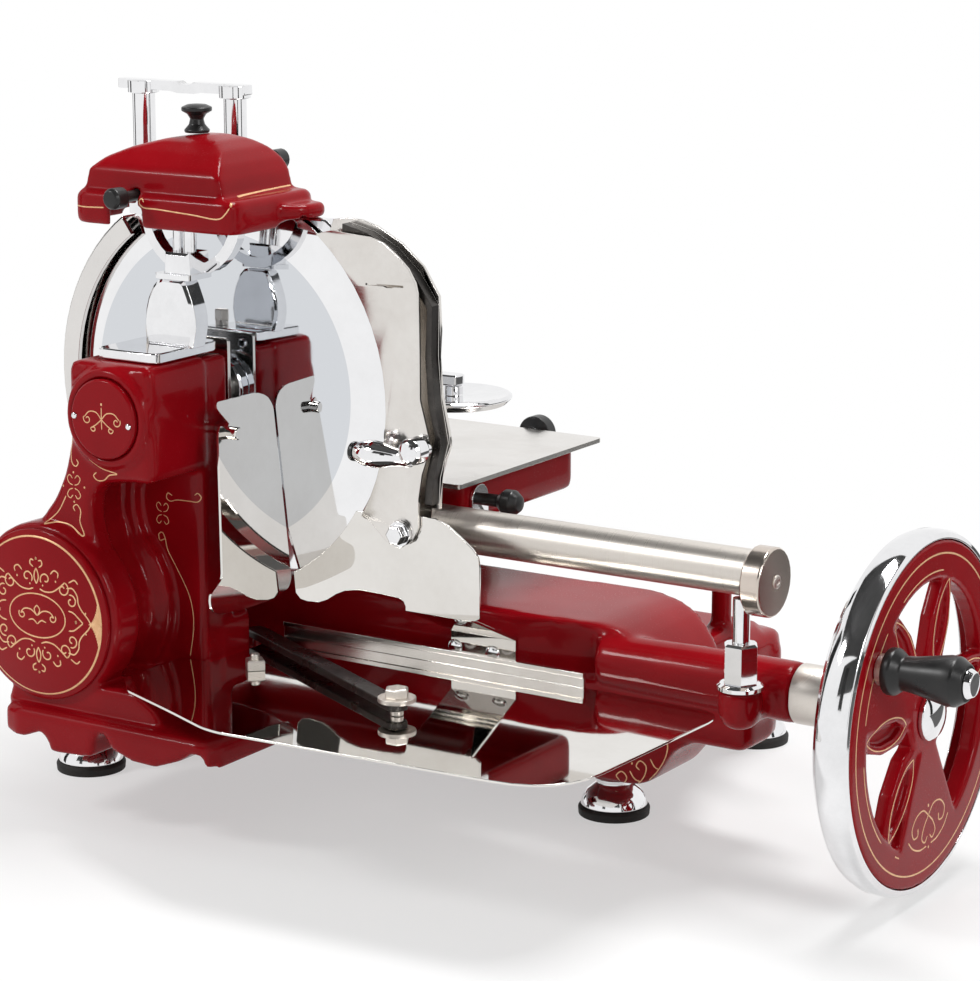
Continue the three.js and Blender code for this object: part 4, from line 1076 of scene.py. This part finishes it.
def line_column():
    gold = Lining(COLUMN, TOWARDS_BACK, front_at(-98))
    # the neck: a three cornered panel with curled corners round a knot
    for line in (
        [(-44, -22), (-45.4, -30), (-44.6, -37), (-41.6, -39.4), (-39.4, -37), (-41, -34.8)],
        [(-28, -33), (-20, -38), (-9, -40.4), (-15, -42), (-19.6, -45.6), (-24.4, -46.4),
         (-27.4, -43.6), (-25, -41.2)],
        [(-50, -59), (-56, -69), (-64, -77), (-55.6, -76), (-46, -77.4), (-36, -82.6),
         (-39.4, -74.4), (-38.6, -67.4), (-41.4, -63.6), (-44.4, -65.4), (-43, -68)],
    ):
        gold.line(line, 1.0)
    for line in four_ways([(0.6, 1), (3.6, 2.2), (5.2, 5.4), (3, 7.4), (0.9, 5.2)], (-43.5, -52.5)):
        gold.line(line, 0.85)
    for x, z in ((-43.5, -62), (-43.5, -43.4), (-52.4, -53), (-35, -52)):
        gold.dot(x, z, 0.9)
    gold.done("neck_lining", "machine")
    gold = Lining(COLUMN, TOWARDS_BACK, front_at(-60))
    for line in (
        [(-8, -63.6), (-11.4, -62.4), (-12.6, -65.4), (-9.6, -67.4), (-4, -66), (6, -65.6),
         (12, -65.4), (14.4, -62.4), (12.2, -59.8), (9.8, -61.4)],
        [(-14, -92), (-18.4, -93.6), (-19.4, -89.8), (-16.6, -88.4), (-14.4, -92), (-12.6, -99),
         (-7, -108), (-1, -117.4), (4, -127), (6.6, -138), (6.4, -150), (3.6, -166)],
    ):
        gold.line(line, 0.9)
    for line in four_ways([(0.6, 1), (3.4, 2), (4.8, 5), (2.8, 6.8), (0.9, 4.8)], (-16, -76)):
        gold.line(line, 0.75)
    gold.done("back_panel_lining", "machine")


def line_base():
    gold = Lining(BASE, -BACK, lambda x, z: at(x, 60, z))
    for line in (
        [(215, -237.6), (232, -239.4), (246, -239), (256, -235), (260, -229), (256.4, -225.4),
         (252.6, -228.6), (255.2, -231.6)],
        [(258, -237), (266, -233.6), (272, -226.6), (273.6, -219.4), (269.4, -216.4),
         (266.6, -220), (269, -222.4)],
        [(276, -228), (282, -221), (287, -212), (288.4, -203), (284.4, -199.6),
         (281, -202.6), (283, -205.8)],
        [(262, -224), (265.6, -228.6), (270, -230)],
        [(276.4, -214), (279.6, -218.6), (283, -220)],
    ):
        gold.line(line, 1.0)
    for x, z in ((263.6, -219), (275.4, -209), (290.6, -196)):
        gold.dot(x, z, 1.0)
    gold.done("leg_lining", "machine")


def around_shaft(angle):
    """A reader of (radius, side) about the wheel's centre, with the radius along the angle."""
    turn = math.radians(angle)
    return lambda radius, side: (SHAFT[0] + radius * math.cos(turn) - side * math.sin(turn),
                                 SHAFT[1] + radius * math.sin(turn) + side * math.cos(turn))


def line_flywheel():
    gold = Lining(WHEEL, TOWARDS_LEFT, lambda y, z: at(466, y, z))
    gold.line(arc(94.4, 0, 360, 240, SHAFT), 1.35, False)
    for first, last in ((-52, 64), (80, 117), (133, 170), (186, 226), (242, 246)):
        gold.line(arc(84.5, first, last, 40, SHAFT), 1.15, False)
    leaf_side = [(28, 0), (36, 5.6), (46, 8.2), (56, 8.6), (66, 7), (74, 3.8), (80, 0)]
    for angle in SPOKES:
        place = around_shaft(angle)
        for side in (1, -1):
            gold.line([place(r, side * w) for r, w in leaf_side], 1.05)
    # a flourish on the heavy sector
    place = around_shaft(HEAVY_SECTOR)
    for part in ([(62, 0), (57, 7), (58, 16), (64, 22), (70, 20), (70, 14.6), (65.6, 14)],
                 [(62, 0), (67.6, 6), (74, 9), (77.6, 5), (74.6, 1.6)],
                 [(80.6, 3), (80, 12), (76, 21), (70, 27)]):
        for side in (1, -1):
            gold.line([place(r, side * w) for r, w in part], 1.3)
    gold.dot(*place(56, 0), 1.4)
    gold.dot(*place(82, 0), 1.2)
    gold.done("flywheel_lining", "flywheel")


cut_slot()
line_drum_cover()
line_hub_cover()
line_sharpener_cover()
line_column()
line_base()
line_flywheel()


# Stage

FLOOR_Z = CAD_BOX[0].z
FLOOR_REACH = 8.0
CEILING_Z = 2.6
CEILING_REACH = 2.6
AMBIENT = 0.36


def quad(name, corners):
    data = bpy.data.meshes.new(name)
    data.from_pydata(corners, [], [(0, 1, 2, 3)])
    return new_object(name, data)


def level(z, left, near, right, far):
    """Corners of a level rectangle."""
    return [(left, near, z), (right, near, z), (right, far, z), (left, far, z)]


def make_floor():
    floor = quad("floor", level(FLOOR_Z, -FLOOR_REACH, -FLOOR_REACH, FLOOR_REACH, FLOOR_REACH))
    f = Finish("pale_floor", Roughness=0.7, Specular_IOR_Level=0.1)
    f.feed("Base Color", f.blend(f.band(f.noise(3, 4), 0.3, 0.7, 0, 1), (0.86, 0.86, 0.86),
                                 (0.84, 0.84, 0.84)))
    # far from the object the floor is the white backdrop
    path = f.tree.nodes.new("ShaderNodeLightPath")
    kinds = ("Camera", "Glossy", "Transmission")
    seen = [Value(f, path.outputs[f"Is {kind} Ray"]) for kind in kinds]
    distance = f.node("ShaderNodeVectorMath", {"operation": "LENGTH"}, {0: f.place}, "Value")
    share = (seen[0] + seen[1] + seen[2]).held() * f.band(distance, 0.25, 0.75, 0.5, 1.0)
    glow = f.node("ShaderNodeEmission", {}, {"Color": (1, 1, 1, 1), "Strength": 1.0})
    mixed = f.node("ShaderNodeMixShader", {}, {0: share, 1: Value(f, f.shader.outputs[0]), 2: glow})
    output = next(n for n in f.tree.nodes if n.type == "OUTPUT_MATERIAL")
    f.tree.links.new(mixed.socket, output.inputs[0])
    floor.data.materials.append(f.material)


def make_card(name, corners, tone):
    """A dark studio card that only polished surfaces see."""
    card = quad(name, corners)
    f = Finish(f"card_{round(tone * 100)}", Roughness=0.9, Specular_IOR_Level=0.0)
    f.feed("Base Color", f.blend(f.band(f.noise(2, 2), 0.3, 0.7, 0, 1), (tone, tone, tone),
                                 (tone * 0.85, tone * 0.85, tone * 0.85)))
    card.data.materials.append(f.material)
    card.visible_camera = False
    card.visible_diffuse = False
    card.visible_shadow = False
    card.visible_transmission = False


def upright(azimuth, distance, width, bottom, top):
    """Corners of an upright card that faces the machine, with its azimuth in degrees from +X."""
    turn = math.radians(azimuth)
    middle = Vector((math.cos(turn), math.sin(turn), 0)) * distance
    side = Vector((-math.sin(turn), math.cos(turn), 0)) * width / 2
    return [middle - side + Vector((0, 0, bottom)), middle + side + Vector((0, 0, bottom)),
            middle + side + Vector((0, 0, top)), middle - side + Vector((0, 0, top))]


LAMPS_FACE = Vector((0, 0, 0.2))


def make_lamp(name, place, size, power):
    data = bpy.data.lights.new(name, "AREA")
    data.shape = "RECTANGLE"
    data.size, data.size_y = size
    data.energy = power
    lamp = bpy.data.objects.new(name, data)
    lamp.location = place
    lamp.rotation_euler = (LAMPS_FACE - Vector(place)).to_track_quat("-Z", "Y").to_euler()
    bpy.context.scene.collection.objects.link(lamp)


def make_world():
    """Soft light from all round, and plain white for the camera and for reflections."""
    world = bpy.data.worlds.new("studio")
    world.use_nodes = True
    tree = world.node_tree
    tree.nodes.clear()
    path = tree.nodes.new("ShaderNodeLightPath")
    direct = tree.nodes.new("ShaderNodeMath")
    direct.operation = "MAXIMUM"
    tree.links.new(path.outputs["Is Camera Ray"], direct.inputs[0])
    through = tree.nodes.new("ShaderNodeMath")
    through.operation = "MAXIMUM"
    tree.links.new(path.outputs["Is Glossy Ray"], through.inputs[0])
    tree.links.new(path.outputs["Is Transmission Ray"], through.inputs[1])
    tree.links.new(through.outputs[0], direct.inputs[1])
    ambient = tree.nodes.new("ShaderNodeBackground")
    ambient.inputs["Color"].default_value = (1, 0.99, 0.98, 1)
    ambient.inputs["Strength"].default_value = AMBIENT
    white = tree.nodes.new("ShaderNodeBackground")
    white.inputs["Color"].default_value = (1, 1, 1, 1)
    white.inputs["Strength"].default_value = 1
    mixed = tree.nodes.new("ShaderNodeMixShader")
    tree.links.new(direct.outputs[0], mixed.inputs[0])
    tree.links.new(ambient.outputs[0], mixed.inputs[1])
    tree.links.new(white.outputs[0], mixed.inputs[2])
    output = tree.nodes.new("ShaderNodeOutputWorld")
    tree.links.new(mixed.outputs[0], output.inputs[0])
    bpy.context.scene.world = world


make_floor()
make_world()
make_card("ceiling_card", level(CEILING_Z, -CEILING_REACH, -CEILING_REACH, CEILING_REACH, 1.4),
          0.1)
# This card lies just above the floor, behind the flywheel, and is seen in its enamel
make_card("floor_card", level(FLOOR_Z + 0.0005, 0.42, 0.1, 2.2, 2.2), 0.12)
make_card("side_card_a", upright(-30, 2.6, 0.35, 0, 2.2), 0.03)
make_card("side_card_b", upright(12, 2.6, 0.5, 0, 2.2), 0.03)
make_card("side_card_c", upright(-160, 2.6, 0.6, 0, 2.2), 0.03)
make_card("side_card_d", upright(165, 2.6, 0.5, 0, 2.2), 0.03)
make_card("side_card_e", upright(-95, 2.8, 0.5, 0.7, 2.2), 0.05)
make_card("front_card", upright(-75, 3.4, 5.0, 1.5, 3.2), 0.12)
make_lamp("key", (-1.6, -1.7, 2.0), (0.55, 0.55), 27)
make_lamp("fill", (2.2, -1.0, 1.5), (0.35, 0.8), 14)
make_lamp("top", (0.2, 0.5, 2.3), (1.3, 0.5), 42)
bpy.context.scene.view_settings.view_transform = "Standard"
